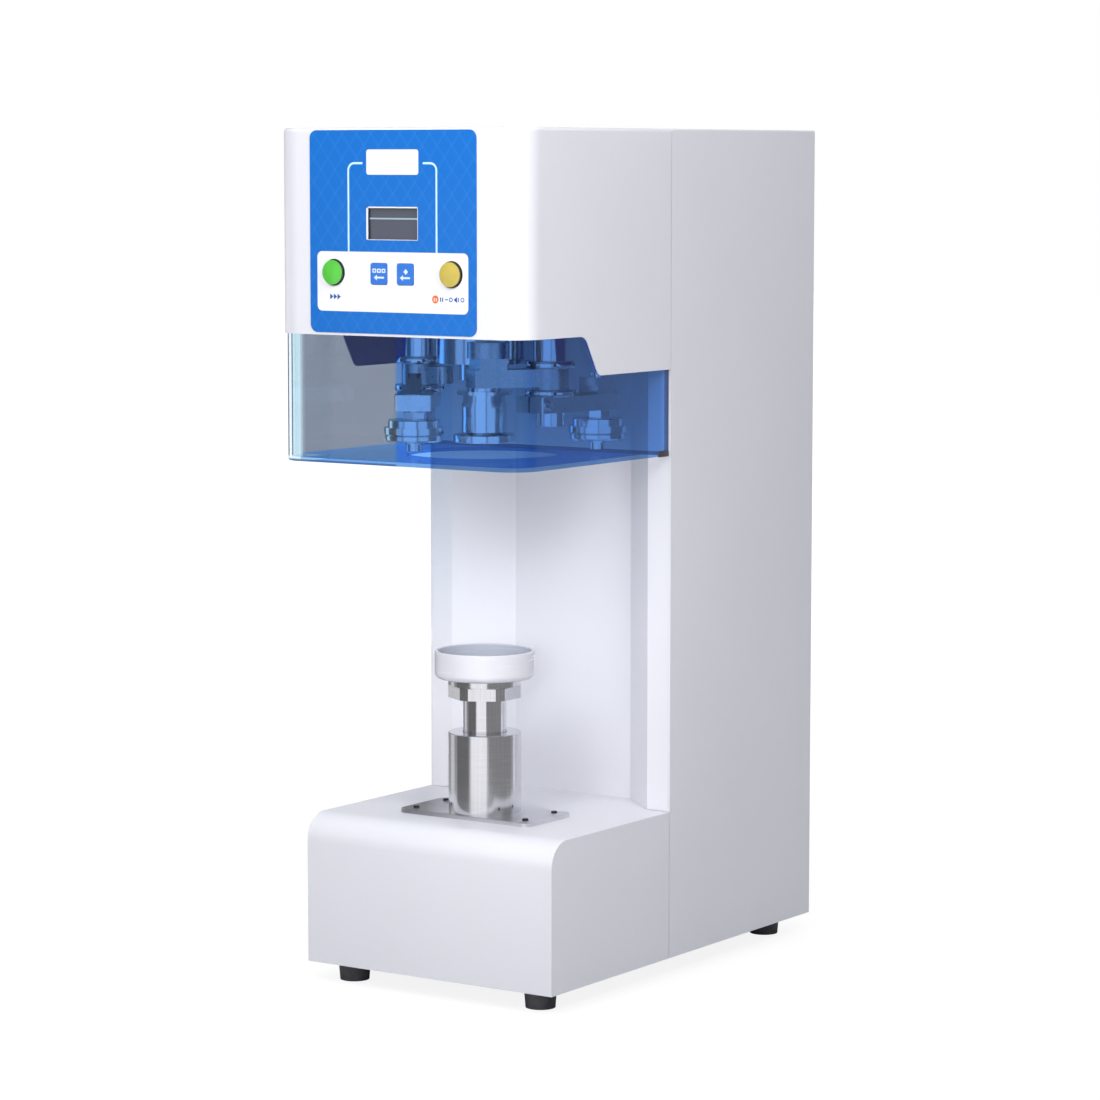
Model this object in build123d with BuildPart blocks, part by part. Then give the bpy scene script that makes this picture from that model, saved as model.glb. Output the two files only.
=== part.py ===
from build123d import *
from math import acos, cos, degrees, hypot, pi, radians, sin
import os

os.makedirs("parts", exist_ok=True)

# Bench-top can seamer: a steel column with a base that lifts the can and a head that seams its lid.
# Units are millimetres.  +Z is up, -Y is the front, and the origin is on the bench under the middle.

# The whole body
body_width = 240.0
body_depth = 445.0
body_height = 693.0
foot_height = 16.0
front_y = -body_depth / 2
back_y = body_depth / 2
seam_from_front = 214.0
seam_y = front_y + seam_from_front
seam_gap = 1.0
sheet = 1.5
overrun = 5.0
fit_gap = 0.3
slide_gap = 0.1
edge_break = 0.6

# The seaming axis, on which the lifter, the spindle and the chuck stand
axis_from_front = 122.0
axis_y = front_y + axis_from_front

# The base
base_setback = 41.0
base_front_y = front_y + base_setback
base_height = 121.6
base_top = foot_height + base_height
base_edge_radius = 21.0
base_bottom = foot_height
pan_sheet = 2.0
pan_top = base_bottom + pan_sheet
pan_flange_height = 18.0

# Where the covers meet at the seam
front_cover_rear_y = seam_y - seam_gap
inner_half_width = body_width / 2 - sheet

# The recess in the front of the column
recess_flange = 20.5
recess_slant = 40.0
recess_depth = 37.0
recess_mouth_half = inner_half_width - recess_flange
recess_back_half = recess_mouth_half - recess_slant
recess_back_y = seam_y + recess_depth

# The head
head_front_height = 161.8
head_rear_height = 193.1
head_front_bottom = body_height - head_front_height
head_rear_bottom = body_height - head_rear_height
head_corner_radius = 25.0
head_top_radius = 3.0
head_slope_start = 88.4
head_slope_end = 107.4
head_slope_start_y = front_y + head_slope_start
head_slope_end_y = front_y + head_slope_end
head_slope_upper_radius = 12.0
head_slope_lower_radius = 7.0
head_plate_drop = 159.0
head_plate_bottom = body_height - head_plate_drop
head_plate_thickness = 12.0
head_plate_top = head_plate_bottom + head_plate_thickness

# The guard
guard_sheet = 3.0
guard_height = 101.2
guard_bottom = head_front_bottom - guard_height
guard_overlap = 14.0
guard_top = head_front_bottom + guard_overlap
guard_corner_radius = head_corner_radius - sheet - fit_gap
guard_hole_radius = 62.5
guard_half_width = body_width / 2 - sheet - fit_gap
guard_front_y = front_y + sheet + fit_gap
guard_rear_y = seam_y - seam_gap


def turned(outline, x, y):
    """A turned piece: its half outline in (radius, height), spun about the upright line at x, y."""
    with BuildPart() as piece:
        with BuildSketch(Plane(origin=(x, y, 0), x_dir=(1, 0, 0), z_dir=(0, -1, 0))):
            with BuildLine():
                Polyline(*outline, close=True)
            make_face()
        revolve(axis=Axis((x, y, 0), (0, 0, 1)))
    return piece


def tube_outline(outer, inner, bottom, top):
    """Half outline of a plain tube or disc."""
    return [(inner, bottom), (outer, bottom), (outer, top), (inner, top)]


def front_tub_plan(half_width, front, rear, radius):
    """Plan of a cover with two rounded front corners and a straight rear edge."""
    with BuildSketch() as plan:
        with BuildLine():
            Polyline(
                (-half_width, rear),
                (-half_width, front),
                (half_width, front),
                (half_width, rear),
                close=True,
            )
        make_face()
        fillet(plan.vertices().group_by(Axis.Y)[0], radius)
    return plan.sketch


# Base cover: folded sheet over the lifting gear, its top running back into the recess
with BuildPart() as base_cover_shell:
    with BuildSketch(Plane.YZ.offset(-body_width / 2)) as base_side:
        with BuildLine():
            Polyline(
                (base_front_y, base_bottom),
                (base_front_y, base_top),
                (front_cover_rear_y, base_top),
                (front_cover_rear_y, base_bottom),
                close=True,
            )
        make_face()
        fillet(base_side.vertices().group_by(Axis.X)[0].sort_by(Axis.Y)[-1], base_edge_radius)
    extrude(amount=body_width)
    with BuildSketch(Plane.YZ.offset(-inner_half_width)) as base_inside:
        with BuildLine():
            Polyline(
                (base_front_y + sheet, base_bottom - overrun),
                (base_front_y + sheet, base_top - sheet),
                (front_cover_rear_y + overrun, base_top - sheet),
                (front_cover_rear_y + overrun, base_bottom - overrun),
                close=True,
            )
        make_face()
        fillet(base_inside.vertices().group_by(Axis.X)[0].sort_by(Axis.Y)[-1], base_edge_radius - sheet)
    extrude(amount=2 * inner_half_width, mode=Mode.SUBTRACT)
    with BuildSketch(Plane.XY.offset(base_top - sheet)):
        with BuildLine():
            Polyline(
                (-recess_mouth_half, front_cover_rear_y),
                (-recess_mouth_half, seam_y),
                (-recess_back_half, recess_back_y + sheet),
                (recess_back_half, recess_back_y + sheet),
                (recess_mouth_half, seam_y),
                (recess_mouth_half, front_cover_rear_y),
                close=True,
            )
        make_face()
    extrude(amount=sheet)

# Lifter sizes, needed by the holes in the covers
shaft_diameter = 35.3
bush_wall = 4.5
bush_outer = shaft_diameter / 2 + slide_gap + bush_wall
bush_hole_gap = 0.3
with BuildPart(mode=Mode.PRIVATE) as bush_hole:
    with BuildSketch(Plane.XY.offset(base_top - sheet - overrun)):
        with Locations((0, axis_y)):
            Circle(bush_outer + bush_hole_gap)
    extrude(amount=sheet + 2 * overrun)

# Plate under the lifter sleeve, with its four screw holes
lift_plate_width = 130.0
lift_plate_depth = 64.0
lift_plate_thickness = 3.3
lift_plate_corner = 8.0
lift_screw_across = 108.0
lift_screw_along = 41.5
lift_screw_diameter = 5.0
lift_screw_gap = 0.15
lift_plate_top = base_top + lift_plate_thickness


def lift_screw_holes(bottom, top, radius):
    """Four upright round bars where the lifter plate is screwed down."""
    with BuildPart() as bars:
        with BuildSketch(Plane.XY.offset(bottom)):
            with Locations((0, axis_y)):
                with GridLocations(lift_screw_across, lift_screw_along, 2, 2):
                    Circle(radius)
        extrude(amount=top - bottom)
    return bars.part


screw_hole_radius = lift_screw_diameter / 2 + lift_screw_gap
lift_screw_bars = lift_screw_holes(base_top - sheet - overrun, lift_plate_top + overrun, screw_hole_radius)
with BuildPart() as base_cover:
    add(base_cover_shell.part)
    add(bush_hole.part, mode=Mode.SUBTRACT)
    add(lift_screw_bars, mode=Mode.SUBTRACT)
base_cover.part.label = "base_cover"
export_step(base_cover.part, "parts/base_cover.step")

with BuildPart() as lift_plate:
    with BuildSketch(Plane.XY.offset(base_top)):
        with Locations((0, axis_y)):
            RectangleRounded(lift_plate_width, lift_plate_depth, lift_plate_corner)
            Circle(bush_outer + bush_hole_gap, mode=Mode.SUBTRACT)
            with GridLocations(lift_screw_across, lift_screw_along, 2, 2):
                Circle(screw_hole_radius, mode=Mode.SUBTRACT)
    extrude(amount=lift_plate_thickness)
    chamfer(lift_plate.faces().sort_by(Axis.Z)[-1].outer_wire().edges(), edge_break)
lift_plate.part.label = "lift_plate"
export_step(lift_plate.part, "parts/lift_plate.step")

# Table that carries the lifter inside the base, on four columns
table_thickness = 8.0
table_width = 150.0
table_depth = 92.0
table_top = base_top - sheet
table_bottom = table_top - table_thickness
table_post_radius = 8.0
table_post_width = 122.0
table_post_depth = 70.0
with BuildPart() as lift_table:
    with BuildSketch(Plane.XY.offset(table_bottom)):
        with Locations((0, axis_y)):
            RectangleRounded(table_width, table_depth, lift_plate_corner)
            Circle(bush_outer + bush_hole_gap, mode=Mode.SUBTRACT)
            with GridLocations(lift_screw_across, lift_screw_along, 2, 2):
                Circle(screw_hole_radius, mode=Mode.SUBTRACT)
    extrude(amount=table_thickness)
    with BuildSketch(Plane.XY.offset(pan_top)):
        with Locations((0, axis_y)):
            with GridLocations(table_post_width, table_post_depth, 2, 2):
                Circle(table_post_radius)
    extrude(amount=table_bottom - pan_top)
lift_table.part.label = "lift_table"
export_step(lift_table.part, "parts/lift_table.step")

# Socket screws that hold the lifter plate, sunk just under its top face
screw_sink = 0.5
screw_socket_across = 2.6
screw_socket_depth = 2.4
with BuildPart() as lift_plate_screws:
    with BuildSketch(Plane.XY.offset(table_bottom)):
        with Locations((0, axis_y)):
            with GridLocations(lift_screw_across, lift_screw_along, 2, 2):
                Circle(lift_screw_diameter / 2)
    extrude(amount=lift_plate_top - screw_sink - table_bottom)
    with BuildSketch(Plane.XY.offset(lift_plate_top - screw_sink)):
        with Locations((0, axis_y)):
            with GridLocations(lift_screw_across, lift_screw_along, 2, 2):
                RegularPolygon(screw_socket_across / 2, 6, major_radius=False)
    extrude(amount=-screw_socket_depth, mode=Mode.SUBTRACT)
lift_plate_screws.part.label = "lift_plate_screws"
export_step(lift_plate_screws.part, "parts/lift_plate_screws.step")

# Sleeve round the lifting shaft, standing on the plate
sleeve_radius = 29.65
sleeve_top = 206.0
sleeve_lip = 3.0
sleeve_lip_gap = 0.5
shaft_radius = shaft_diameter / 2
sleeve_bore = bush_outer + bush_hole_gap
lift_sleeve = turned(
    [
        (sleeve_bore, lift_plate_top),
        (sleeve_radius, lift_plate_top),
        (sleeve_radius, sleeve_top - edge_break),
        (sleeve_radius - edge_break, sleeve_top),
        (shaft_radius + sleeve_lip_gap, sleeve_top),
        (shaft_radius + sleeve_lip_gap, sleeve_top - sleeve_lip),
        (sleeve_bore, sleeve_top - sleeve_lip),
    ],
    0,
    axis_y,
)
lift_sleeve.part.label = "lift_sleeve"
export_step(lift_sleeve.part, "parts/lift_sleeve.step")

# Bronze bush in which the shaft slides, hung from the table by its collar
bush_bottom = 100.0
bush_collar = 3.0
bush_collar_height = 4.0
bush_top = sleeve_top - sleeve_lip
lift_bush = turned(
    [
        (shaft_radius + slide_gap, bush_bottom),
        (bush_outer, bush_bottom),
        (bush_outer, table_bottom - bush_collar_height),
        (bush_outer + bush_collar, table_bottom - bush_collar_height),
        (bush_outer + bush_collar, table_bottom),
        (bush_outer, table_bottom),
        (bush_outer, bush_top),
        (shaft_radius + slide_gap, bush_top),
    ],
    0,
    axis_y,
)
lift_bush.part.label = "lift_bush"
export_step(lift_bush.part, "parts/lift_bush.step")

# Lifting shaft, forked at its foot for the cam roller and necked at its head for the nut
cam_axis_z = 60.0
lift_travel = 25.0
lift_cam_low = 14.0
lift_roller_radius = 9.0
lift_roller_pin_radius = 4.0
lift_cam_thickness = 8.0
lift_slot_width = 10.6
lift_roller_z = cam_axis_z + lift_cam_low + lift_roller_radius + fit_gap
shaft_fork_drop = 8.3
shaft_bottom = lift_roller_z - shaft_fork_drop
slot_head_room = 1.7
slot_top = lift_roller_z + lift_roller_radius + slot_head_room
nut_bottom = 234.2
nut_hex_top = 244.0
nut_top = 249.7
neck_radius = 15.0
spigot_radius = 8.5
cup_gap = 0.3
cup_bottom = nut_top + cup_gap
cup_bearing_height = 5.0
cup_bearing_radius = 13.0
spigot_top = cup_bottom + cup_bearing_height - cup_gap
with BuildPart() as lift_shaft:
    with BuildSketch(Plane(origin=(0, axis_y, 0), x_dir=(1, 0, 0), z_dir=(0, -1, 0))):
        with BuildLine():
            Polyline(
                (0, shaft_bottom),
                (shaft_radius, shaft_bottom),
                (shaft_radius, nut_bottom),
                (neck_radius, nut_bottom),
                (neck_radius, nut_top),
                (spigot_radius, nut_top),
                (spigot_radius, spigot_top),
                (0, spigot_top),
                close=True,
            )
        make_face()
    revolve(axis=Axis((0, axis_y, 0), (0, 0, 1)))
    with BuildSketch(Plane.XY.offset(shaft_bottom - overrun)):
        with Locations((0, axis_y)):
            Rectangle(2 * shaft_diameter, lift_slot_width)
    extrude(amount=slot_top - shaft_bottom + overrun, mode=Mode.SUBTRACT)
    with BuildSketch(Plane.XZ.offset(-axis_y - shaft_diameter)):
        with Locations((0, lift_roller_z)):
            Circle(lift_roller_pin_radius + slide_gap)
    extrude(amount=2 * shaft_diameter, mode=Mode.SUBTRACT)
lift_shaft.part.label = "lift_shaft"
export_step(lift_shaft.part, "parts/lift_shaft.step")


def bar_along_y(radius, centre_x, centre_z, start_y, end_y, bore=0.0):
    """A round bar or tube lying along Y."""
    with BuildPart() as bar:
        with BuildSketch(Plane.XZ.offset(-start_y)):
            with Locations((centre_x, centre_z)):
                Circle(radius)
                if bore > 0:
                    Circle(bore, mode=Mode.SUBTRACT)
        extrude(amount=start_y - end_y)
    return bar


pin_sink = 1.8
pin_half = shaft_radius - pin_sink
lift_roller_pin = bar_along_y(
    lift_roller_pin_radius, 0, lift_roller_z, axis_y - pin_half, axis_y + pin_half
)
lift_roller_pin.part.label = "lift_roller_pin"
export_step(lift_roller_pin.part, "parts/lift_roller_pin.step")

lift_roller = bar_along_y(
    lift_roller_radius,
    0,
    lift_roller_z,
    axis_y - lift_cam_thickness / 2,
    axis_y + lift_cam_thickness / 2,
    lift_roller_pin_radius + slide_gap,
)
lift_roller.part.label = "lift_roller"
export_step(lift_roller.part, "parts/lift_roller.step")

# Lift cam: the roller rises evenly over half a turn, rests, and comes down again
cam_samples = 72
cam_step_share = 1 / 576
lift_rise_share = 0.5
lift_top_share = 0.06
lift_bottom_share = 0.08
lift_centre_low = lift_cam_low + lift_roller_radius + fit_gap


def lift_centre(share):
    """Distance of the roller's centre from the cam's, at a share of the turn."""
    fall_start_share = lift_rise_share + lift_top_share
    fall_end_share = 1 - lift_bottom_share
    if share < lift_rise_share:
        return lift_centre_low + lift_travel * share / lift_rise_share
    if share < fall_start_share:
        return lift_centre_low + lift_travel
    if share < fall_end_share:
        down_share = (share - fall_start_share) / (fall_end_share - fall_start_share)
        return lift_centre_low + lift_travel * (1 + cos(pi * down_share)) / 2
    return lift_centre_low


def cam_point(share):
    """Point of the cam's edge in its own plane: the roller's path moved inward by the roller's radius."""
    reach = lift_centre(share % 1)
    ahead = lift_centre((share + cam_step_share) % 1)
    behind = lift_centre((share - cam_step_share) % 1)
    slope = (ahead - behind) / (4 * pi * cam_step_share)
    turn = pi / 2 - share * 2 * pi
    inward = lift_roller_radius + fit_gap
    length = hypot(reach, slope)
    radial = reach - inward * reach / length
    sideways = -inward * slope / length
    return (
        radial * cos(turn) - sideways * sin(turn),
        radial * sin(turn) + sideways * cos(turn),
    )


cam_hub_radius = 11.0
cam_hub_length = 9.0
cam_shaft_radius = 6.0
cam_shaft_front_reach = 34.0
cam_shaft_rear_reach = 62.0
cam_shaft_front = axis_y - cam_shaft_front_reach
cam_shaft_rear = axis_y + cam_shaft_rear_reach
with BuildPart() as lift_cam:
    with BuildSketch(Plane.XZ.offset(-axis_y - lift_cam_thickness / 2)):
        with Locations((0, cam_axis_z)):
            with BuildSketch(mode=Mode.PRIVATE) as cam_face:
                with BuildLine():
                    Spline(*[cam_point(i / cam_samples) for i in range(cam_samples)], periodic=True)
                make_face()
            add(cam_face.sketch)
    extrude(amount=lift_cam_thickness)
    with BuildSketch(Plane.XZ.offset(-axis_y + lift_cam_thickness / 2)):
        with Locations((0, cam_axis_z)):
            Circle(cam_hub_radius)
    extrude(amount=cam_hub_length)
    with BuildSketch(Plane.XZ.offset(-axis_y - lift_cam_thickness)):
        with Locations((0, cam_axis_z)):
            Circle(cam_shaft_radius + slide_gap / 2)
    extrude(amount=2 * lift_cam_thickness + cam_hub_length, mode=Mode.SUBTRACT)
lift_cam.part.label = "lift_cam"
export_step(lift_cam.part, "parts/lift_cam.step")

lift_cam_shaft = bar_along_y(cam_shaft_radius, 0, cam_axis_z, cam_shaft_front, cam_shaft_rear)
lift_cam_shaft.part.label = "lift_cam_shaft"
export_step(lift_cam_shaft.part, "parts/lift_cam_shaft.step")

# Brackets that hold the cam shaft: a narrow one in front, and one behind that carries the gear motor
front_bracket_width = 44.0
front_bracket_height = 66.0
bracket_thickness = 6.0
front_bracket_inset = 4.0
motor_bracket_reach = 34.0
front_bracket_y = cam_shaft_front + front_bracket_inset
motor_bracket_y = axis_y + motor_bracket_reach
motor_bracket_width = 90.0
motor_bracket_height = 88.0
bracket_foot = 14.0
bracket_sizes = [
    (front_bracket_width, front_bracket_height, front_bracket_y, -1),
    (motor_bracket_width, motor_bracket_height, motor_bracket_y, 1),
]
with BuildPart() as cam_brackets:
    for width, height, bracket_y, foot_sign in bracket_sizes:
        with BuildSketch(Plane.XZ.offset(-bracket_y)):
            with Locations((0, pan_top + height / 2)):
                Rectangle(width, height)
            with Locations((0, cam_axis_z)):
                Circle(cam_shaft_radius + slide_gap, mode=Mode.SUBTRACT)
        extrude(amount=-bracket_thickness)
        with BuildSketch(Plane.XY.offset(pan_top)):
            with Locations((0, bracket_y + bracket_thickness / 2 + foot_sign * bracket_foot / 2)):
                Rectangle(width, bracket_foot)
        extrude(amount=bracket_thickness)
cam_brackets.part.label = "cam_brackets"
export_step(cam_brackets.part, "parts/cam_brackets.step")

# Gear motor that turns the lift cam
gearbox_size = 60.0
gearbox_length = 46.0
lift_motor_radius = 22.0
lift_motor_length = 66.0
gearbox_start = motor_bracket_y + bracket_thickness
gearbox_end = gearbox_start + gearbox_length
gearbox_corner = 6.0
gearbox_bore_gap = 0.2
with BuildPart() as lift_gearmotor:
    with BuildSketch(Plane.XZ.offset(-gearbox_start)):
        with Locations((0, cam_axis_z)):
            RectangleRounded(gearbox_size, gearbox_size, gearbox_corner)
    extrude(amount=-gearbox_length)
    with BuildSketch(Plane.XZ.offset(-gearbox_end)):
        with Locations((0, cam_axis_z)):
            Circle(lift_motor_radius)
    extrude(amount=-lift_motor_length)
    with BuildSketch(Plane.XZ.offset(-gearbox_start + overrun)):
        with Locations((0, cam_axis_z)):
            Circle(cam_shaft_radius + gearbox_bore_gap)
    extrude(amount=-(cam_shaft_rear + fit_gap - gearbox_start + overrun), mode=Mode.SUBTRACT)
lift_gearmotor.part.label = "lift_gearmotor"
export_step(lift_gearmotor.part, "parts/lift_gearmotor.step")

# Hexagon nut under the cup, its corners turned down to the width of its flange
nut_across_flats = 55.0
nut_flange_radius = 29.7
nut_bore_gap = 0.1
nut_groove = 0.8
with BuildPart() as lift_nut:
    with BuildSketch(Plane.XY.offset(nut_bottom)):
        with Locations((0, axis_y)):
            RegularPolygon(nut_across_flats / 2, 6, major_radius=False, rotation=30)
            Circle(nut_flange_radius, mode=Mode.INTERSECT)
    extrude(amount=nut_hex_top - nut_bottom)
    with BuildSketch(Plane.XY.offset(nut_hex_top)):
        with Locations((0, axis_y)):
            Circle(nut_across_flats / 2 - nut_groove)
    extrude(amount=nut_groove)
    with BuildSketch(Plane.XY.offset(nut_hex_top + nut_groove)):
        with Locations((0, axis_y)):
            Circle(nut_flange_radius)
    extrude(amount=nut_top - nut_hex_top - nut_groove)
    with Locations((0, axis_y, nut_top)):
        Hole(neck_radius + nut_bore_gap)
lift_nut.part.label = "lift_nut"
export_step(lift_nut.part, "parts/lift_nut.step")

# Plastic cup that holds the can, turning on a thin ball bearing round the shaft's spigot
cup_radius = 40.6
cup_wall = 2.8
cup_top = 272.7
cup_floor = 8.0
cup_edge_radius = 5.0
cup_rim_radius = 0.9
cup_floor_top = cup_bottom + cup_floor
bearing_press_gap = 0.02
with BuildPart() as can_cup:
    with BuildSketch(Plane(origin=(0, axis_y, 0), x_dir=(1, 0, 0), z_dir=(0, -1, 0))) as cup_half:
        with BuildLine():
            Polyline(
                (0, cup_bottom + cup_bearing_height),
                (cup_bearing_radius + bearing_press_gap, cup_bottom + cup_bearing_height),
                (cup_bearing_radius + bearing_press_gap, cup_bottom),
                (cup_radius, cup_bottom),
                (cup_radius, cup_top),
                (cup_radius - cup_wall, cup_top),
                (cup_radius - cup_wall, cup_floor_top),
                (0, cup_floor_top),
                close=True,
            )
        make_face()
        fillet(cup_half.vertices().group_by(Axis.Y)[0].sort_by(Axis.X)[-1], cup_edge_radius)
        fillet(cup_half.vertices().group_by(Axis.Y)[-1], cup_rim_radius)
    revolve(axis=Axis((0, axis_y, 0), (0, 0, 1)))
can_cup.part.label = "can_cup"
export_step(can_cup.part, "parts/can_cup.step")

cup_bearing = turned(
    tube_outline(
        cup_bearing_radius, spigot_radius + slide_gap, cup_bottom, cup_bottom + cup_bearing_height
    ),
    0,
    axis_y,
)
cup_bearing.part.label = "cup_bearing"
export_step(cup_bearing.part, "parts/cup_bearing.step")

# Base pan: folded tray that closes the base and carries the feet
pan_side_gap = 0.2
pan_half_width = inner_half_width - pan_side_gap
pan_front_y = base_front_y + sheet + pan_side_gap
pan_rear_y = back_y - sheet - pan_side_gap
foot_inset_x = 28.0
foot_front_from_base = 26.0
foot_rear_from_back = 32.0
foot_x = body_width / 2 - foot_inset_x
foot_places = [
    (-foot_x, base_front_y + foot_front_from_base),
    (foot_x, base_front_y + foot_front_from_base),
    (-foot_x, back_y - foot_rear_from_back),
    (foot_x, back_y - foot_rear_from_back),
]
foot_screw_radius = 2.5
foot_screw_gap = 0.15
pan_middle_y = (pan_front_y + pan_rear_y) / 2
with BuildPart() as base_pan_block:
    with BuildSketch(Plane.XY.offset(base_bottom)):
        with Locations((0, pan_middle_y)):
            Rectangle(2 * pan_half_width, pan_rear_y - pan_front_y)
    extrude(amount=pan_sheet + pan_flange_height)
    with BuildSketch(Plane.XY.offset(pan_top)):
        with Locations((0, pan_middle_y)):
            Rectangle(2 * (pan_half_width - pan_sheet), pan_rear_y - pan_front_y - 2 * pan_sheet)
    extrude(amount=pan_flange_height, mode=Mode.SUBTRACT)
    with BuildSketch(Plane.XY.offset(base_bottom)):
        with Locations(*foot_places):
            Circle(foot_screw_radius + foot_screw_gap)
    extrude(amount=pan_sheet, mode=Mode.SUBTRACT)

# Rubber feet with a recess for the screw head
foot_top_radius = 13.25
foot_bottom_radius = 12.0
foot_recess_radius = 5.5
foot_recess_depth = 7.0
with BuildPart() as feet:
    for foot_place in foot_places:
        with BuildSketch(Plane.XY):
            with Locations(foot_place):
                Circle(foot_bottom_radius)
        with BuildSketch(Plane.XY.offset(foot_height)):
            with Locations(foot_place):
                Circle(foot_top_radius)
        loft()
    for foot_place in foot_places:
        with BuildSketch(Plane.XY):
            with Locations(foot_place):
                Circle(foot_recess_radius)
        extrude(amount=foot_recess_depth, mode=Mode.SUBTRACT)
        with BuildSketch(Plane.XY.offset(foot_recess_depth)):
            with Locations(foot_place):
                Circle(foot_screw_radius + foot_screw_gap)
        extrude(amount=foot_height - foot_recess_depth, mode=Mode.SUBTRACT)
feet.part.label = "feet"
export_step(feet.part, "parts/feet.step")

foot_screw_head_radius = 4.6
foot_screw_head_height = 3.5
foot_nut_height = 4.0
foot_nut_across = 8.0
with BuildPart() as foot_screws:
    with BuildSketch(Plane.XY.offset(foot_recess_depth - foot_screw_head_height)):
        with Locations(*foot_places):
            Circle(foot_screw_head_radius)
    extrude(amount=foot_screw_head_height)
    with BuildSketch(Plane.XY.offset(foot_recess_depth)):
        with Locations(*foot_places):
            Circle(foot_screw_radius)
    extrude(amount=pan_top + foot_nut_height - foot_recess_depth)
    with BuildSketch(Plane.XY.offset(pan_top)):
        with Locations(*foot_places):
            RegularPolygon(foot_nut_across / 2, 6, major_radius=False)
    extrude(amount=foot_nut_height)
foot_screws.part.label = "foot_screws"
export_step(foot_screws.part, "parts/foot_screws.step")

# Column panel: the folded front of the column, with the recess in which the can stands
panel_bottom = base_top
panel_top = head_plate_bottom
panel_flange_half = inner_half_width - pan_side_gap
fold_shift = 0.6
with BuildPart() as column_panel:
    with BuildSketch(Plane.XY.offset(panel_bottom)):
        with BuildLine():
            Polyline(
                (-panel_flange_half, seam_y),
                (-recess_mouth_half, seam_y),
                (-recess_back_half, recess_back_y),
                (recess_back_half, recess_back_y),
                (recess_mouth_half, seam_y),
                (panel_flange_half, seam_y),
                (panel_flange_half, seam_y + sheet),
                (recess_mouth_half + fold_shift, seam_y + sheet),
                (recess_back_half + fold_shift, recess_back_y + sheet),
                (-recess_back_half - fold_shift, recess_back_y + sheet),
                (-recess_mouth_half - fold_shift, seam_y + sheet),
                (-panel_flange_half, seam_y + sheet),
                close=True,
            )
        make_face()
    extrude(amount=panel_top - panel_bottom)
column_panel.part.label = "column_panel"
export_step(column_panel.part, "parts/column_panel.step")

# Column posts: two steel box sections from the pan to the head plate
post_width = 30.0
post_depth = 60.0
post_wall = 3.0
post_side_gap = 7.5
post_panel_gap = 10.0
post_x = inner_half_width - post_side_gap - post_width / 2
post_y = recess_back_y + sheet + post_panel_gap + post_depth / 2
with BuildPart() as column_posts:
    with BuildSketch(Plane.XY.offset(pan_top)):
        with Locations((-post_x, post_y), (post_x, post_y)):
            Rectangle(post_width, post_depth)
            Rectangle(post_width - 2 * post_wall, post_depth - 2 * post_wall, mode=Mode.SUBTRACT)
    extrude(amount=head_plate_bottom - pan_top)
column_posts.part.label = "column_posts"
export_step(column_posts.part, "parts/column_posts.step")

# Seaming gear sizes, shared by the plate, the housings and the moving pieces
pivot_x = 64.0
pivot_shaft_radius = 11.25
pivot_shaft_drop = 77.2
pivot_shaft_bottom = head_plate_bottom - pivot_shaft_drop
pivot_nose_radius = 13.5
pivot_nose_drop = 24.4
pivot_nose_bottom = head_plate_bottom - pivot_nose_drop
pivot_housing_radius = 17.0
pivot_flange_radius = 24.0
pivot_flange_height = 6.0
spindle_radius = 12.5
housing_radius = 35.0
housing_nose_radius = 39.0
housing_drop = 28.0
housing_bottom = head_plate_bottom - housing_drop
housing_rise = 56.0
housing_top = head_plate_bottom + housing_rise
motor_from_back = 72.5
motor_y = back_y - motor_from_back
motor_shaft_radius = 7.0
hole_gap = 0.2

# Head plate: thick steel plate with two stiffening ribs, carrying the whole seaming gear
head_plate_gap = 0.3
head_plate_half_width = guard_half_width - guard_sheet - head_plate_gap
head_plate_front_y = guard_front_y + guard_sheet + head_plate_gap
head_plate_rear_y = pan_rear_y
head_plate_corner_radius = guard_corner_radius - guard_sheet
head_plate_middle_y = (head_plate_front_y + head_plate_rear_y) / 2
rib_thickness = 5.0
rib_height = 30.0
rib_end_inset = 30.0
rib_x = (pivot_x + pivot_flange_radius + head_plate_half_width) / 2
with BuildPart() as head_plate_block:
    with BuildSketch(Plane.XY.offset(head_plate_bottom)):
        add(
            front_tub_plan(
                head_plate_half_width,
                head_plate_front_y,
                head_plate_rear_y,
                head_plate_corner_radius,
            )
        )
        with Locations((0, axis_y)):
            Circle(housing_radius + hole_gap, mode=Mode.SUBTRACT)
        with Locations((-pivot_x, axis_y), (pivot_x, axis_y)):
            Circle(pivot_housing_radius + hole_gap, mode=Mode.SUBTRACT)
        with Locations((0, motor_y)):
            Circle(2 * motor_shaft_radius, mode=Mode.SUBTRACT)
    extrude(amount=head_plate_thickness)
    with BuildSketch(Plane.XY.offset(head_plate_top)):
        with Locations((-rib_x, head_plate_middle_y), (rib_x, head_plate_middle_y)):
            Rectangle(rib_thickness, head_plate_rear_y - head_plate_front_y - 2 * rib_end_inset)
    extrude(amount=rib_height)

# Control panel places: offsets are from the panel's middle, as seen from the front
panel_x = -1.3
overlay_width = 160.0
overlay_height = 158.0
overlay_from_top = 80.8
overlay_z = body_height - overlay_from_top
overlay_thickness = 0.6
overlay_corner_radius = 6.5
display_width = 49.7
display_height = 26.1
display_from_top = 74.0
display_z = body_height - display_from_top
button_from_top = 112.6
button_z = body_height - button_from_top
button_offset = 56.5
button_radius = 9.6
button_hole_radius = 10.5
key_from_top = 113.2
key_z = body_height - key_from_top
key_offset = 12.7
key_width = 16.0
key_height = 16.6
key_corner_radius = 2.0
key_gap = 0.3
overlay_front_y = front_y - overlay_thickness
button_places = [(panel_x - button_offset, button_z), (panel_x + button_offset, button_z)]
key_places = [(panel_x - key_offset, key_z), (panel_x + key_offset, key_z)]


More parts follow.
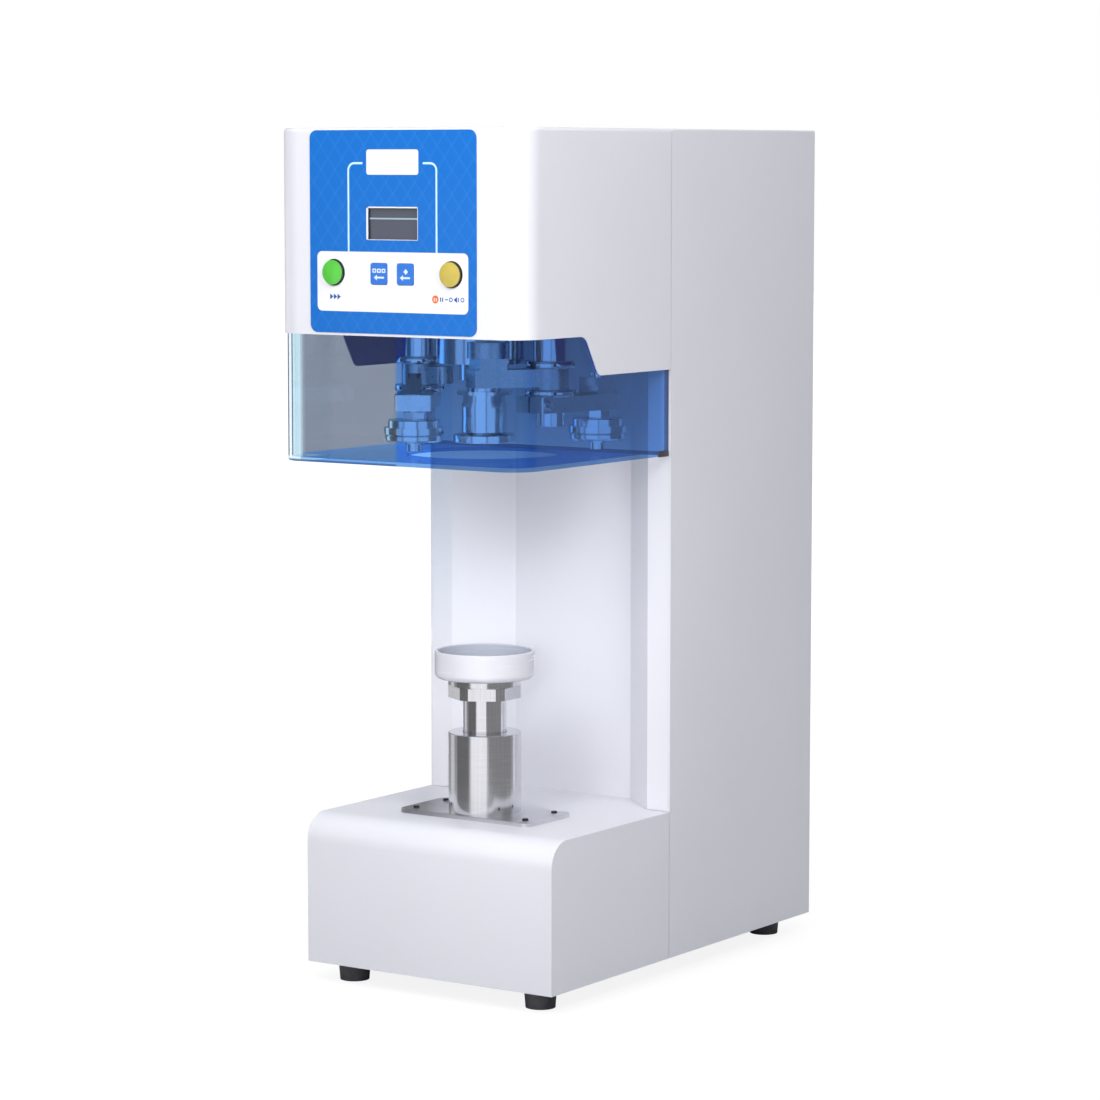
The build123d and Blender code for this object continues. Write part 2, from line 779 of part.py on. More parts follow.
def panel_openings():
    """Openings for the display, the two buttons and the two keys, in the plane of the front."""
    with BuildSketch() as openings:
        with Locations((panel_x, display_z)):
            Rectangle(display_width, display_height)
        with Locations(*button_places):
            Circle(button_hole_radius)
        with Locations(*key_places):
            RectangleRounded(key_width + 2 * key_gap, key_height + 2 * key_gap, key_corner_radius)
    return openings.sketch


# Head cover: a folded tub over the front of the head, its lower edge stepping down behind the guard
cutter_low = head_rear_bottom - 2 * overrun
with BuildPart() as head_cover:
    with BuildSketch(Plane.XY.offset(head_rear_bottom - overrun)):
        add(front_tub_plan(body_width / 2, front_y, front_cover_rear_y, head_corner_radius))
    extrude(amount=body_height - head_rear_bottom + overrun)
    fillet(
        head_cover.faces().sort_by(Axis.Z)[-1].edges().sort_by(Axis.Y)[:-1],
        head_top_radius,
    )
    with BuildSketch(Plane.XY.offset(cutter_low)):
        add(
            front_tub_plan(
                inner_half_width, front_y + sheet, front_cover_rear_y + overrun, head_corner_radius - sheet
            )
        )
    extrude(amount=body_height - sheet - cutter_low, mode=Mode.SUBTRACT)
    with BuildSketch(Plane.YZ.offset(-body_width)) as lower_edge:
        with BuildLine():
            Polyline(
                (front_y - overrun, head_front_bottom),
                (head_slope_start_y, head_front_bottom),
                (head_slope_end_y, head_rear_bottom),
                (seam_y + overrun, head_rear_bottom),
                (seam_y + overrun, cutter_low),
                (front_y - overrun, cutter_low),
                close=True,
            )
        make_face()
        fillet(
            lower_edge.vertices().group_by(Axis.Y)[1].sort_by(Axis.X)[0],
            head_slope_lower_radius,
        )
        fillet(
            lower_edge.vertices().group_by(Axis.Y)[-1].sort_by(Axis.X)[-1],
            head_slope_upper_radius,
        )
    extrude(amount=2 * body_width, mode=Mode.SUBTRACT)
    with BuildSketch(Plane.XZ.offset(-front_y + overrun)):
        add(panel_openings())
    extrude(amount=-(sheet + 2 * overrun), mode=Mode.SUBTRACT)
head_cover.part.label = "head_cover"
export_step(head_cover.part, "parts/head_cover.step")

# Printed overlay glued on the front of the head
with BuildPart() as control_overlay:
    with BuildSketch(Plane.XZ.offset(-front_y)):
        with Locations((panel_x, overlay_z)):
            RectangleRounded(overlay_width, overlay_height, overlay_corner_radius)
        add(panel_openings(), mode=Mode.SUBTRACT)
    extrude(amount=overlay_thickness)
control_overlay.part.label = "control_overlay"
export_step(control_overlay.part, "parts/control_overlay.step")

# Display window, set in its opening
window_thickness = 2.0
window_gap = 0.1
window_sink = 2.0
with BuildPart() as lcd_window:
    with BuildSketch(Plane.XZ.offset(-overlay_front_y - window_sink)):
        with Locations((panel_x, display_z)):
            Rectangle(display_width - 2 * window_gap, display_height - 2 * window_gap)
    extrude(amount=-window_thickness)
lcd_window.part.label = "lcd_window"
export_step(lcd_window.part, "parts/lcd_window.step")

# Display board: circuit board on four stand-offs, with the display module and the switches
board_gap = 9.5
board_thickness = 1.6
board_width = 140.0
board_height = 112.0
board_from_top = 84.0
board_z = body_height - board_from_top
board_front_y = front_y + sheet + board_gap
standoff_radius = 3.0
standoff_inset = 6.0
module_width = 60.0
module_height = 36.0
window_back_y = overlay_front_y + window_sink + window_thickness
module_gap = 0.2
switch_size = 6.0
switch_height = 1.0
with BuildPart() as display_board:
    with BuildSketch(Plane.XZ.offset(-board_front_y)):
        with Locations((panel_x, board_z)):
            Rectangle(board_width, board_height)
    extrude(amount=-board_thickness)
    with BuildSketch(Plane.XZ.offset(-board_front_y)):
        with Locations((panel_x, board_z)):
            with GridLocations(board_width - 2 * standoff_inset, board_height - 2 * standoff_inset, 2, 2):
                Circle(standoff_radius)
    extrude(amount=board_gap)
    with BuildSketch(Plane.XZ.offset(-board_front_y)):
        with Locations((panel_x, display_z)):
            Rectangle(module_width, module_height)
    extrude(amount=board_front_y - window_back_y - module_gap)
    with BuildSketch(Plane.XZ.offset(-board_front_y)):
        with Locations(*button_places, *key_places):
            Rectangle(switch_size, switch_size)
    extrude(amount=switch_height)
display_board.part.label = "display_board"
export_step(display_board.part, "parts/display_board.step")

# Two round push buttons, start on the left and pause on the right
button_travel = 2.0
button_proud = 3.6
button_dome_drop = 0.9
button_shoulder = 5.76
button_dome_low = 0.32
button_flange_radius = 11.4
button_flange_thickness = 1.4
button_stem_radius = 3.0
button_front_y = overlay_front_y - button_proud
button_flange_y = front_y + sheet + fit_gap
button_stem_y = board_front_y - switch_height - button_travel - fit_gap


def push_button(x):
    """A domed button: cap, retaining flange and stem, turned about its own axis along Y."""
    with BuildPart() as button:
        with BuildSketch(Plane(origin=(x, 0, button_z), x_dir=(1, 0, 0), z_dir=(0, 0, 1))):
            with BuildLine():
                Line((0, button_stem_y), (0, button_front_y))
                ThreePointArc(
                    (0, button_front_y),
                    (button_shoulder, button_front_y + button_dome_low),
                    (button_radius, button_front_y + button_dome_drop),
                )
                Polyline(
                    (button_radius, button_front_y + button_dome_drop),
                    (button_radius, button_flange_y),
                    (button_flange_radius, button_flange_y),
                    (button_flange_radius, button_flange_y + button_flange_thickness),
                    (button_stem_radius, button_flange_y + button_flange_thickness),
                    (button_stem_radius, button_stem_y),
                    (0, button_stem_y),
                )
            make_face()
        revolve(axis=Axis((x, 0, button_z), (0, 1, 0)))
    return button


start_button = push_button(panel_x - button_offset)
start_button.part.label = "start_button"
export_step(start_button.part, "parts/start_button.step")

pause_button = push_button(panel_x + button_offset)
pause_button.part.label = "pause_button"
export_step(pause_button.part, "parts/pause_button.step")

# Two square keys between the buttons
key_travel = 0.8
key_proud = 0.5
key_flange = 1.5
key_edge = 0.3
key_stem_y = board_front_y - switch_height - key_travel - fit_gap


def panel_key(x):
    """A flat key with a retaining flange behind the sheet and a stem to its switch."""
    with BuildPart() as key:
        with BuildSketch(Plane.XZ.offset(-button_flange_y)):
            with Locations((x, key_z)):
                RectangleRounded(key_width, key_height, key_corner_radius)
        extrude(amount=button_flange_y - overlay_front_y + key_proud)
        chamfer(key.faces().sort_by(Axis.Y)[0].edges(), key_edge)
        with BuildSketch(Plane.XZ.offset(-button_flange_y)):
            with Locations((x, key_z)):
                Rectangle(key_width + key_flange, key_height + key_flange)
        extrude(amount=-button_flange_thickness)
        with BuildSketch(Plane.XZ.offset(-button_flange_y)):
            with Locations((x, key_z)):
                Circle(button_stem_radius)
        extrude(amount=-(key_stem_y - button_flange_y))
    return key


left_key = panel_key(panel_x - key_offset)
left_key.part.label = "left_key"
export_step(left_key.part, "parts/left_key.step")

right_key = panel_key(panel_x + key_offset)
right_key.part.label = "right_key"
export_step(right_key.part, "parts/right_key.step")

# Guard: clear acrylic tray round the seaming gear, with a round hole for the can
guard_screw_radius = 2.0
guard_screw_head_radius = 4.0
guard_screw_head_depth = 2.2
guard_screw_length = 11.0
guard_screw_gap = 0.1
guard_screw_z = head_plate_bottom + head_plate_thickness / 2
guard_screw_inset = 40.0
guard_screw_pitch = 75.0
guard_screw_start_y = head_plate_front_y + guard_screw_inset
guard_screw_ys = [guard_screw_start_y + guard_screw_pitch * step for step in range(3)]


def guard_screw_bodies(gap):
    """Countersunk screws through both sides of the guard into the edges of the head plate."""
    with BuildPart() as screws:
        for side in (-1, 1):
            for screw_y in guard_screw_ys:
                head = Plane(origin=(side * guard_half_width, screw_y, guard_screw_z), z_dir=(-side, 0, 0))
                with BuildSketch(head):
                    Circle(guard_screw_head_radius + gap)
                with BuildSketch(head.offset(guard_screw_head_depth)):
                    Circle(guard_screw_radius + gap)
                loft()
                with BuildSketch(head):
                    Circle(guard_screw_radius + gap)
                extrude(amount=guard_screw_length + gap)
    return screws


with BuildPart() as guard:
    with BuildSketch(Plane.XY.offset(guard_bottom)):
        add(front_tub_plan(guard_half_width, guard_front_y, guard_rear_y, guard_corner_radius))
    extrude(amount=guard_top - guard_bottom)
    with BuildSketch(Plane.XY.offset(guard_bottom + guard_sheet)):
        add(
            front_tub_plan(
                guard_half_width - guard_sheet,
                guard_front_y + guard_sheet,
                guard_rear_y + overrun,
                guard_corner_radius - guard_sheet,
            )
        )
    extrude(amount=guard_top - guard_bottom, mode=Mode.SUBTRACT)
    with BuildSketch(Plane.XY.offset(guard_bottom)):
        with Locations((0, axis_y)):
            Circle(guard_hole_radius)
    extrude(amount=guard_sheet, mode=Mode.SUBTRACT)
    add(guard_screw_bodies(guard_screw_gap).part, mode=Mode.SUBTRACT)
guard.part.label = "guard"
export_step(guard.part, "parts/guard.step")

guard_screws = guard_screw_bodies(0)
guard_screws.part.label = "guard_screws"
export_step(guard_screws.part, "parts/guard_screws.step")

# Rear cover: one folded sheet round both sides, the back and the top of the column
rear_corner_radius = 3.0
rear_top_radius = 1.5
cover_screw_radius = 2.0
cover_screw_head_radius = 3.8
cover_screw_head_height = 2.2
cover_screw_length = 9.0
cover_screw_gap = 0.1
cover_screw_low_z = pan_top + pan_flange_height / 2
cover_screw_pitch = 60.0
cover_screw_start_x = -90.0
cover_screw_xs = [cover_screw_start_x + cover_screw_pitch * step for step in range(4)]
cover_screw_places = [(x, z) for z in (cover_screw_low_z, guard_screw_z) for x in cover_screw_xs]
inlet_x = 62.0
inlet_z = 82.0
inlet_body_width = 27.0
inlet_body_height = 47.0
inlet_body_depth = 28.0
inlet_flange_width = 34.0
inlet_flange_height = 54.0
inlet_flange_thickness = 2.5
inlet_gap = 0.3
vent_width = 3.0
vent_length = 26.0
vent_pitch = 8.0
vent_rows = 9
vent_spacing = 50.0
vent_columns = 3
vent_z = 440.0


def rear_holes(screw_hole_radius):
    """Screw holes, vents and the inlet opening in the back of the rear cover."""
    with BuildSketch() as holes:
        with Locations(*cover_screw_places):
            Circle(screw_hole_radius)
        with Locations((inlet_x, inlet_z)):
            Rectangle(inlet_body_width + 2 * inlet_gap, inlet_body_height + 2 * inlet_gap)
        with Locations((0, vent_z)):
            with GridLocations(vent_spacing, vent_pitch, vent_columns, vent_rows):
                SlotOverall(vent_length, vent_width)
    return holes.sketch


with BuildPart() as rear_cover:
    with BuildSketch(Plane.XY.offset(base_bottom)):
        with Locations((0, (seam_y + back_y) / 2)):
            Rectangle(body_width, back_y - seam_y)
    extrude(amount=body_height - base_bottom)
    fillet(rear_cover.edges().filter_by(Axis.Z).group_by(Axis.Y)[-1], rear_corner_radius)
    fillet(rear_cover.faces().sort_by(Axis.Z)[-1].edges().sort_by(Axis.Y)[1:], rear_top_radius)
    with BuildSketch(Plane.XY.offset(base_bottom - overrun)):
        with Locations((0, (seam_y - overrun + back_y - sheet) / 2)):
            Rectangle(2 * inner_half_width, back_y - sheet - seam_y + overrun)
    extrude(amount=body_height - sheet - base_bottom + overrun, mode=Mode.SUBTRACT)
    with BuildSketch(Plane.XZ.offset(-back_y - overrun)):
        add(rear_holes(cover_screw_radius + cover_screw_gap))
    extrude(amount=sheet + 2 * overrun, mode=Mode.SUBTRACT)
rear_cover.part.label = "rear_cover"
export_step(rear_cover.part, "parts/rear_cover.step")


def cover_screw_bars(radius):
    """Round bars where the cover screws go into the pan and the head plate."""
    with BuildPart() as bars:
        with BuildSketch(Plane.XZ.offset(-back_y)):
            with Locations(*cover_screw_places):
                Circle(radius)
        extrude(amount=cover_screw_length)
    return bars.part


with BuildPart() as cover_screws:
    add(cover_screw_bars(cover_screw_radius))
    with BuildSketch(Plane.XZ.offset(-back_y)):
        with Locations(*cover_screw_places):
            Circle(cover_screw_head_radius)
    extrude(amount=-cover_screw_head_height)
    with BuildSketch(Plane.XZ.offset(-back_y - cover_screw_head_height)):
        with Locations(*cover_screw_places):
            RegularPolygon(cover_screw_radius, 6, major_radius=False)
    extrude(amount=cover_screw_head_height / 2, mode=Mode.SUBTRACT)
cover_screws.part.label = "cover_screws"
export_step(cover_screws.part, "parts/cover_screws.step")

with BuildPart() as base_pan:
    add(base_pan_block.part)
    add(cover_screw_bars(cover_screw_radius + cover_screw_gap), mode=Mode.SUBTRACT)
base_pan.part.label = "base_pan"
export_step(base_pan.part, "parts/base_pan.step")

with BuildPart() as head_plate:
    add(head_plate_block.part)
    add(cover_screw_bars(cover_screw_radius + cover_screw_gap), mode=Mode.SUBTRACT)
    add(guard_screw_bodies(guard_screw_gap).part, mode=Mode.SUBTRACT)
head_plate.part.label = "head_plate"
export_step(head_plate.part, "parts/head_plate.step")

# Mains inlet with a rocker switch above it, snapped into the back
socket_width = 22.0
socket_height = 15.0
socket_depth = 17.0
socket_corner = 3.0
socket_drop = 11.5
blade_width = 2.0
blade_height = 4.0
blade_spacing = 7.0
blade_rise = 2.0
rocker_rise = 12.5
rocker_width = 12.6
rocker_height = 18.0
rocker_gap = 0.5
rocker_well_depth = 9.0
rocker_pivot_sink = 3.5
rocker_pin_radius = 1.2
rocker_pin_gap = 0.1
rocker_pin_length = 1.0
socket_z = inlet_z - socket_drop
rocker_z = inlet_z + rocker_rise
inlet_face_y = back_y + inlet_flange_thickness
rocker_pivot_y = inlet_face_y - rocker_pivot_sink
with BuildPart() as power_inlet:
    with BuildSketch(Plane.XZ.offset(-back_y)):
        with Locations((inlet_x, inlet_z)):
            RectangleRounded(inlet_flange_width, inlet_flange_height, socket_corner)
    extrude(amount=-inlet_flange_thickness)
    with BuildSketch(Plane.XZ.offset(-back_y)):
        with Locations((inlet_x, inlet_z)):
            Rectangle(inlet_body_width, inlet_body_height)
    extrude(amount=inlet_body_depth)
    with BuildSketch(Plane.XZ.offset(-inlet_face_y)):
        with Locations((inlet_x, socket_z)):
            RectangleRounded(socket_width, socket_height, socket_corner)
    extrude(amount=socket_depth, mode=Mode.SUBTRACT)
    with BuildSketch(Plane.XZ.offset(-inlet_face_y + socket_depth)):
        with Locations((inlet_x - blade_spacing, socket_z), (inlet_x + blade_spacing, socket_z)):
            Rectangle(blade_width, blade_height)
        with Locations((inlet_x, socket_z + blade_rise)):
            Rectangle(blade_width, blade_height)
    extrude(amount=-(socket_depth - inlet_flange_thickness))
    with BuildSketch(Plane.XZ.offset(-inlet_face_y)):
        with Locations((inlet_x, rocker_z)):
            Rectangle(rocker_width + 2 * rocker_gap, rocker_height + 4 * rocker_gap)
    extrude(amount=rocker_well_depth, mode=Mode.SUBTRACT)
    with BuildSketch(Plane.YZ.offset(inlet_x - rocker_width / 2 - rocker_gap - rocker_pin_length)):
        with Locations((rocker_pivot_y, rocker_z)):
            Circle(rocker_pin_radius + rocker_pin_gap)
    extrude(amount=rocker_width + 2 * rocker_gap + 2 * rocker_pin_length, mode=Mode.SUBTRACT)
power_inlet.part.label = "power_inlet"
export_step(power_inlet.part, "parts/power_inlet.step")

rocker_rise_front = 2.4
rocker_dip_front = 0.4
rocker_back = 3.0
rocker_half = rocker_height / 2
rocker_taper_share = 0.85
with BuildPart() as power_switch:
    with BuildSketch(Plane.YZ.offset(inlet_x - rocker_width / 2)):
        with BuildLine():
            Polyline(
                (rocker_pivot_y + rocker_pivot_sink + rocker_dip_front - rocker_pin_radius, rocker_z),
                (rocker_pivot_y + rocker_rise_front, rocker_z + rocker_half),
                (rocker_pivot_y - rocker_back, rocker_z + rocker_half * rocker_taper_share),
                (rocker_pivot_y - rocker_back, rocker_z - rocker_half * rocker_taper_share),
                (rocker_pivot_y + rocker_rise_front, rocker_z - rocker_half),
                close=True,
            )
        make_face()
    extrude(amount=rocker_width)
    with BuildSketch(Plane.YZ.offset(inlet_x - rocker_width / 2 - rocker_gap - rocker_pin_length / 2)):
        with Locations((rocker_pivot_y, rocker_z)):
            Circle(rocker_pin_radius)
    extrude(amount=rocker_width + 2 * rocker_gap + rocker_pin_length)
power_switch.part.label = "power_switch"
export_step(power_switch.part, "parts/power_switch.step")

# Control board on stand-offs behind the recess
control_width = 120.0
control_height = 180.0
control_z = 250.0
control_gap = 8.0
transformer_size = 34.0
transformer_height = 28.0
capacitor_radius = 9.0
capacitor_height = 26.0
heatsink_width = 50.0
heatsink_height = 30.0
heatsink_depth = 14.0
control_rear_y = back_y - sheet - control_gap
control_front_y = control_rear_y - board_thickness
with BuildPart() as control_board:
    with BuildSketch(Plane.XZ.offset(-control_rear_y)):
        with Locations((0, control_z)):
            Rectangle(control_width, control_height)
    extrude(amount=board_thickness)
    with BuildSketch(Plane.XZ.offset(-control_rear_y)):
        with Locations((0, control_z)):
            with GridLocations(
                control_width - 2 * standoff_inset, control_height - 2 * standoff_inset, 2, 2
            ):
                Circle(standoff_radius)
    extrude(amount=-control_gap)
    with BuildSketch(Plane.XZ.offset(-control_front_y)):
        with Locations((-control_width / 4, control_z - control_height / 4)):
            Rectangle(transformer_size, transformer_size)
    extrude(amount=transformer_height)
    with BuildSketch(Plane.XZ.offset(-control_front_y)):
        with Locations((control_width / 4, control_z - control_height / 4)):
            Circle(capacitor_radius)
    extrude(amount=capacitor_height)
    with BuildSketch(Plane.XZ.offset(-control_front_y)):
        with Locations((0, control_z + control_height / 4)):
            Rectangle(heatsink_width, heatsink_height)
    extrude(amount=heatsink_depth)
control_board.part.label = "control_board"
export_step(control_board.part, "parts/control_board.step")

# Seaming chuck: the round tool that enters the lid
chuck_drop = 92.2
chuck_bottom = head_plate_bottom - chuck_drop
chuck_lip_radius = 25.15
chuck_nose_radius = 23.4
chuck_lip_height = 6.0
chuck_lip_edge = 0.8
chuck_shoulder = 1.6
chuck_body_radius = 18.25
chuck_body_head_drop = 60.0
chuck_body_top = head_plate_bottom - chuck_body_head_drop
chuck_collar_radius = 17.0
chuck_collar_head_drop = 54.0
chuck_collar_top = head_plate_bottom - chuck_collar_head_drop
clip_radius = 22.0
clip_thickness = 2.8
neck_spindle_radius = 13.6
chuck_head_drop = 42.0
chuck_top = head_plate_bottom - chuck_head_drop
chuck_bore_drop = 77.0
chuck_bore_bottom = head_plate_bottom - chuck_bore_drop
chuck_lip_top = chuck_bottom + chuck_lip_height
clip_bottom = chuck_collar_top + edge_break / 2
chuck = turned(
    [
        (0, chuck_bottom),
        (chuck_nose_radius, chuck_bottom),
        (chuck_lip_radius, chuck_bottom + chuck_lip_edge),
        (chuck_lip_radius, chuck_lip_top),
        (chuck_lip_radius - chuck_shoulder, chuck_lip_top + chuck_lip_edge),
        (chuck_body_radius, chuck_lip_top + chuck_lip_edge + chuck_shoulder),
        (chuck_body_radius, chuck_body_top),
        (chuck_collar_radius, chuck_body_top),
        (chuck_collar_radius, clip_bottom),
        (clip_radius, clip_bottom),
        (clip_radius, clip_bottom + clip_thickness),
        (neck_spindle_radius, clip_bottom + clip_thickness),
        (neck_spindle_radius, chuck_top),
        (spindle_radius + slide_gap / 2, chuck_top),
        (spindle_radius + slide_gap / 2, chuck_bore_bottom),
        (0, chuck_bore_bottom),
    ],
    0,
    axis_y,
)
chuck.part.label = "chuck"
export_step(chuck.part, "parts/chuck.step")

# Spindle, from the chuck up to its pulley
spindle_collar_radius = 20.0
spindle_collar_gap = 0.3
spindle_rise = 102.0
spindle_top = head_plate_bottom + spindle_rise
spindle = turned(
    [
        (0, chuck_bore_bottom + fit_gap),
        (spindle_radius, chuck_bore_bottom + fit_gap),
        (spindle_radius, chuck_top + spindle_collar_gap),
        (spindle_collar_radius, chuck_top + spindle_collar_gap),
        (spindle_collar_radius, housing_bottom - spindle_collar_gap),
        (spindle_radius, housing_bottom - spindle_collar_gap),
        (spindle_radius, spindle_top),
        (0, spindle_top),
    ],
    0,
    axis_y,
)
spindle.part.label = "spindle"
export_step(spindle.part, "parts/spindle.step")

# Spindle housing, hung under the head plate, with a ball bearing at each end
bearing_radius = 26.0
bearing_height = 15.0
bearing_inset = 4.0
housing_bore_radius = 23.0
housing_mouth_radius = 14.5
bearing_low = housing_bottom + bearing_inset
bearing_high = housing_top - bearing_inset - bearing_height
spindle_housing = turned(
    [
        (housing_mouth_radius, housing_bottom),
        (housing_nose_radius, housing_bottom),
        (housing_nose_radius, head_plate_bottom),
        (housing_radius, head_plate_bottom),
        (housing_radius, housing_top),
        (bearing_radius + bearing_press_gap, housing_top),
        (bearing_radius + bearing_press_gap, bearing_high),
        (housing_bore_radius, bearing_high),
        (housing_bore_radius, bearing_low + bearing_height),
        (bearing_radius + bearing_press_gap, bearing_low + bearing_height),
        (bearing_radius + bearing_press_gap, bearing_low),
        (housing_mouth_radius, bearing_low),
    ],
    0,
    axis_y,
)
spindle_housing.part.label = "spindle_housing"
export_step(spindle_housing.part, "parts/spindle_housing.step")

with BuildPart() as spindle_bearings:
    for bearing_bottom in (bearing_low, bearing_high):
        with BuildSketch(Plane.XY.offset(bearing_bottom)):
            with Locations((0, axis_y)):
                Circle(bearing_radius)
                Circle(spindle_radius + slide_gap / 2, mode=Mode.SUBTRACT)
        extrude(amount=bearing_height)
spindle_bearings.part.label = "spindle_bearings"
export_step(spindle_bearings.part, "parts/spindle_bearings.step")

# Flat belt drive from the spindle motor at the back to the spindle
belt_width = 16.0
belt_thickness = 3.0
belt_gap = 0.3
pulley_flange = 2.0
pulley_flange_rise = 4.5
pulley_foot_rise = 64.0
pulley_bottom = head_plate_bottom + pulley_foot_rise
spindle_pulley_radius = 33.0
motor_pulley_radius = 23.0
pulley_face = belt_width + 4 * belt_gap


def pulley_outline(radius, bore):
    """Half outline of a flanged belt pulley with its bore."""
    top_flange = pulley_bottom + pulley_flange + pulley_face
    return [
        (bore, pulley_bottom),
        (radius + pulley_flange_rise, pulley_bottom),
        (radius + pulley_flange_rise, pulley_bottom + pulley_flange),
        (radius, pulley_bottom + pulley_flange),
        (radius, top_flange),
        (radius + pulley_flange_rise, top_flange),
        (radius + pulley_flange_rise, top_flange + pulley_flange),
        (bore, top_flange + pulley_flange),
    ]


spindle_pulley = turned(pulley_outline(spindle_pulley_radius, spindle_radius + slide_gap / 2), 0, axis_y)
spindle_pulley.part.label = "spindle_pulley"
export_step(spindle_pulley.part, "parts/spindle_pulley.step")

motor_pulley = turned(pulley_outline(motor_pulley_radius, motor_shaft_radius + slide_gap / 2), 0, motor_y)
motor_pulley.part.label = "motor_pulley"
export_step(motor_pulley.part, "parts/motor_pulley.step")


def belt_loop(grow):
    """The loop round both pulleys, grown by a distance."""
    with BuildSketch() as loop:
        with Locations((0, axis_y)):
            Circle(spindle_pulley_radius + grow)
        with Locations((0, motor_y)):
            Circle(motor_pulley_radius + grow)
        make_hull()
    return loop.sketch


with BuildPart() as drive_belt:
    with BuildSketch(Plane.XY.offset(pulley_bottom + pulley_flange + 2 * belt_gap)):
        add(belt_loop(belt_gap + belt_thickness))
        add(belt_loop(belt_gap), mode=Mode.SUBTRACT)
    extrude(amount=belt_width)
drive_belt.part.label = "drive_belt"
export_step(drive_belt.part, "parts/drive_belt.step")

# Spindle motor, hung under the back of the head plate
motor_radius = 45.0
motor_drop = 154.0
motor_bottom = head_plate_bottom - motor_drop
motor_boss_radius = 13.0
motor_shaft_rise = 94.0
motor_shaft_top = head_plate_bottom + motor_shaft_rise
motor_shaft_sink = 20.0
spindle_motor = turned(
    [
        (0, motor_bottom),
        (motor_radius, motor_bottom),
        (motor_radius, head_plate_bottom),
        (motor_boss_radius, head_plate_bottom),
        (motor_boss_radius, head_plate_top),
        (motor_shaft_radius + slide_gap, head_plate_top),
        (motor_shaft_radius + slide_gap, head_plate_bottom - motor_shaft_sink),
        (0, head_plate_bottom - motor_shaft_sink),
    ],
    0,
    motor_y,
)
spindle_motor.part.label = "spindle_motor"
export_step(spindle_motor.part, "parts/spindle_motor.step")

motor_shaft = turned(
    tube_outline(motor_shaft_radius, 0, head_plate_bottom - motor_shaft_sink + fit_gap, motor_shaft_top),
    0,
    motor_y,
)
motor_shaft.part.label = "motor_shaft"
export_step(motor_shaft.part, "parts/motor_shaft.step")

# Pivot housings for the two arm shafts, one each side of the spindle
with BuildPart() as pivot_housings:
    for side in (-1, 1):
        with BuildSketch(Plane.XY.offset(pivot_nose_bottom)):
            with Locations((side * pivot_x, axis_y)):
                Circle(pivot_nose_radius)
        extrude(amount=head_plate_bottom - pivot_nose_bottom)
        with BuildSketch(Plane.XY.offset(head_plate_bottom)):
            with Locations((side * pivot_x, axis_y)):
                Circle(pivot_housing_radius)
        extrude(amount=head_plate_thickness)
        with BuildSketch(Plane.XY.offset(head_plate_top)):
            with Locations((side * pivot_x, axis_y)):
                Circle(pivot_flange_radius)
        extrude(amount=pivot_flange_height)
    with BuildSketch(Plane.XY.offset(pivot_nose_bottom)):
        with Locations((-pivot_x, axis_y), (pivot_x, axis_y)):
            Circle(pivot_shaft_radius + slide_gap)
    extrude(amount=head_plate_top + pivot_flange_height - pivot_nose_bottom, mode=Mode.SUBTRACT)
pivot_housings.part.label = "pivot_housings"
export_step(pivot_housings.part, "parts/pivot_housings.step")

# Gear motors that swing the arms, one on top of each pivot housing
arm_motor_radius = 21.0
arm_motor_headroom = 33.0
arm_motor_top = body_height - arm_motor_headroom
arm_skirt_radius = 24.0
arm_skirt_bore = 18.0
arm_skirt_height = 22.0
arm_skirt_roof = 6.0
arm_shaft_entry = 12.0
arm_skirt_bottom = head_plate_top + pivot_flange_height
arm_skirt_top = arm_skirt_bottom + arm_skirt_height
arm_roof_bottom = arm_skirt_top - arm_skirt_roof
arm_shaft_top = arm_roof_bottom + arm_shaft_entry
with BuildPart() as arm_gearmotors:
    for side in (-1, 1):
        with BuildSketch(Plane.XY.offset(arm_skirt_bottom)):
            with Locations((side * pivot_x, axis_y)):
                Circle(arm_skirt_radius)
        extrude(amount=arm_skirt_height)
        with BuildSketch(Plane.XY.offset(arm_skirt_top)):
            with Locations((side * pivot_x, axis_y)):
                Circle(arm_motor_radius)
        extrude(amount=arm_motor_top - arm_skirt_top)
        with BuildSketch(Plane.XY.offset(arm_skirt_bottom)):
            with Locations((side * pivot_x, axis_y)):
                Circle(arm_skirt_bore)
        extrude(amount=arm_skirt_height - arm_skirt_roof, mode=Mode.SUBTRACT)
        with BuildSketch(Plane.XY.offset(arm_roof_bottom)):
            with Locations((side * pivot_x, axis_y)):
                Circle(pivot_shaft_radius + slide_gap)
        extrude(amount=arm_shaft_entry + fit_gap, mode=Mode.SUBTRACT)
arm_gearmotors.part.label = "arm_gearmotors"
export_step(arm_gearmotors.part, "parts/arm_gearmotors.step")

# Arm shafts with their retaining rings above and below the lever hub
arm_drop = 65.4
arm_bottom = head_plate_bottom - arm_drop
arm_thickness = 12.7
ring_radius = 15.5
ring_thickness = 1.4
clip_small_radius = 13.0
lever_hub_drop = 47.4
lever_hub_bottom = head_plate_bottom - lever_hub_drop
lever_hub_head_drop = 30.6
lever_hub_top = head_plate_bottom - lever_hub_head_drop
upper_ring_drop = 26.8
upper_ring_bottom = head_plate_bottom - upper_ring_drop
arm_top = arm_bottom + arm_thickness
arm_ring_bottom = arm_top + edge_break / 2


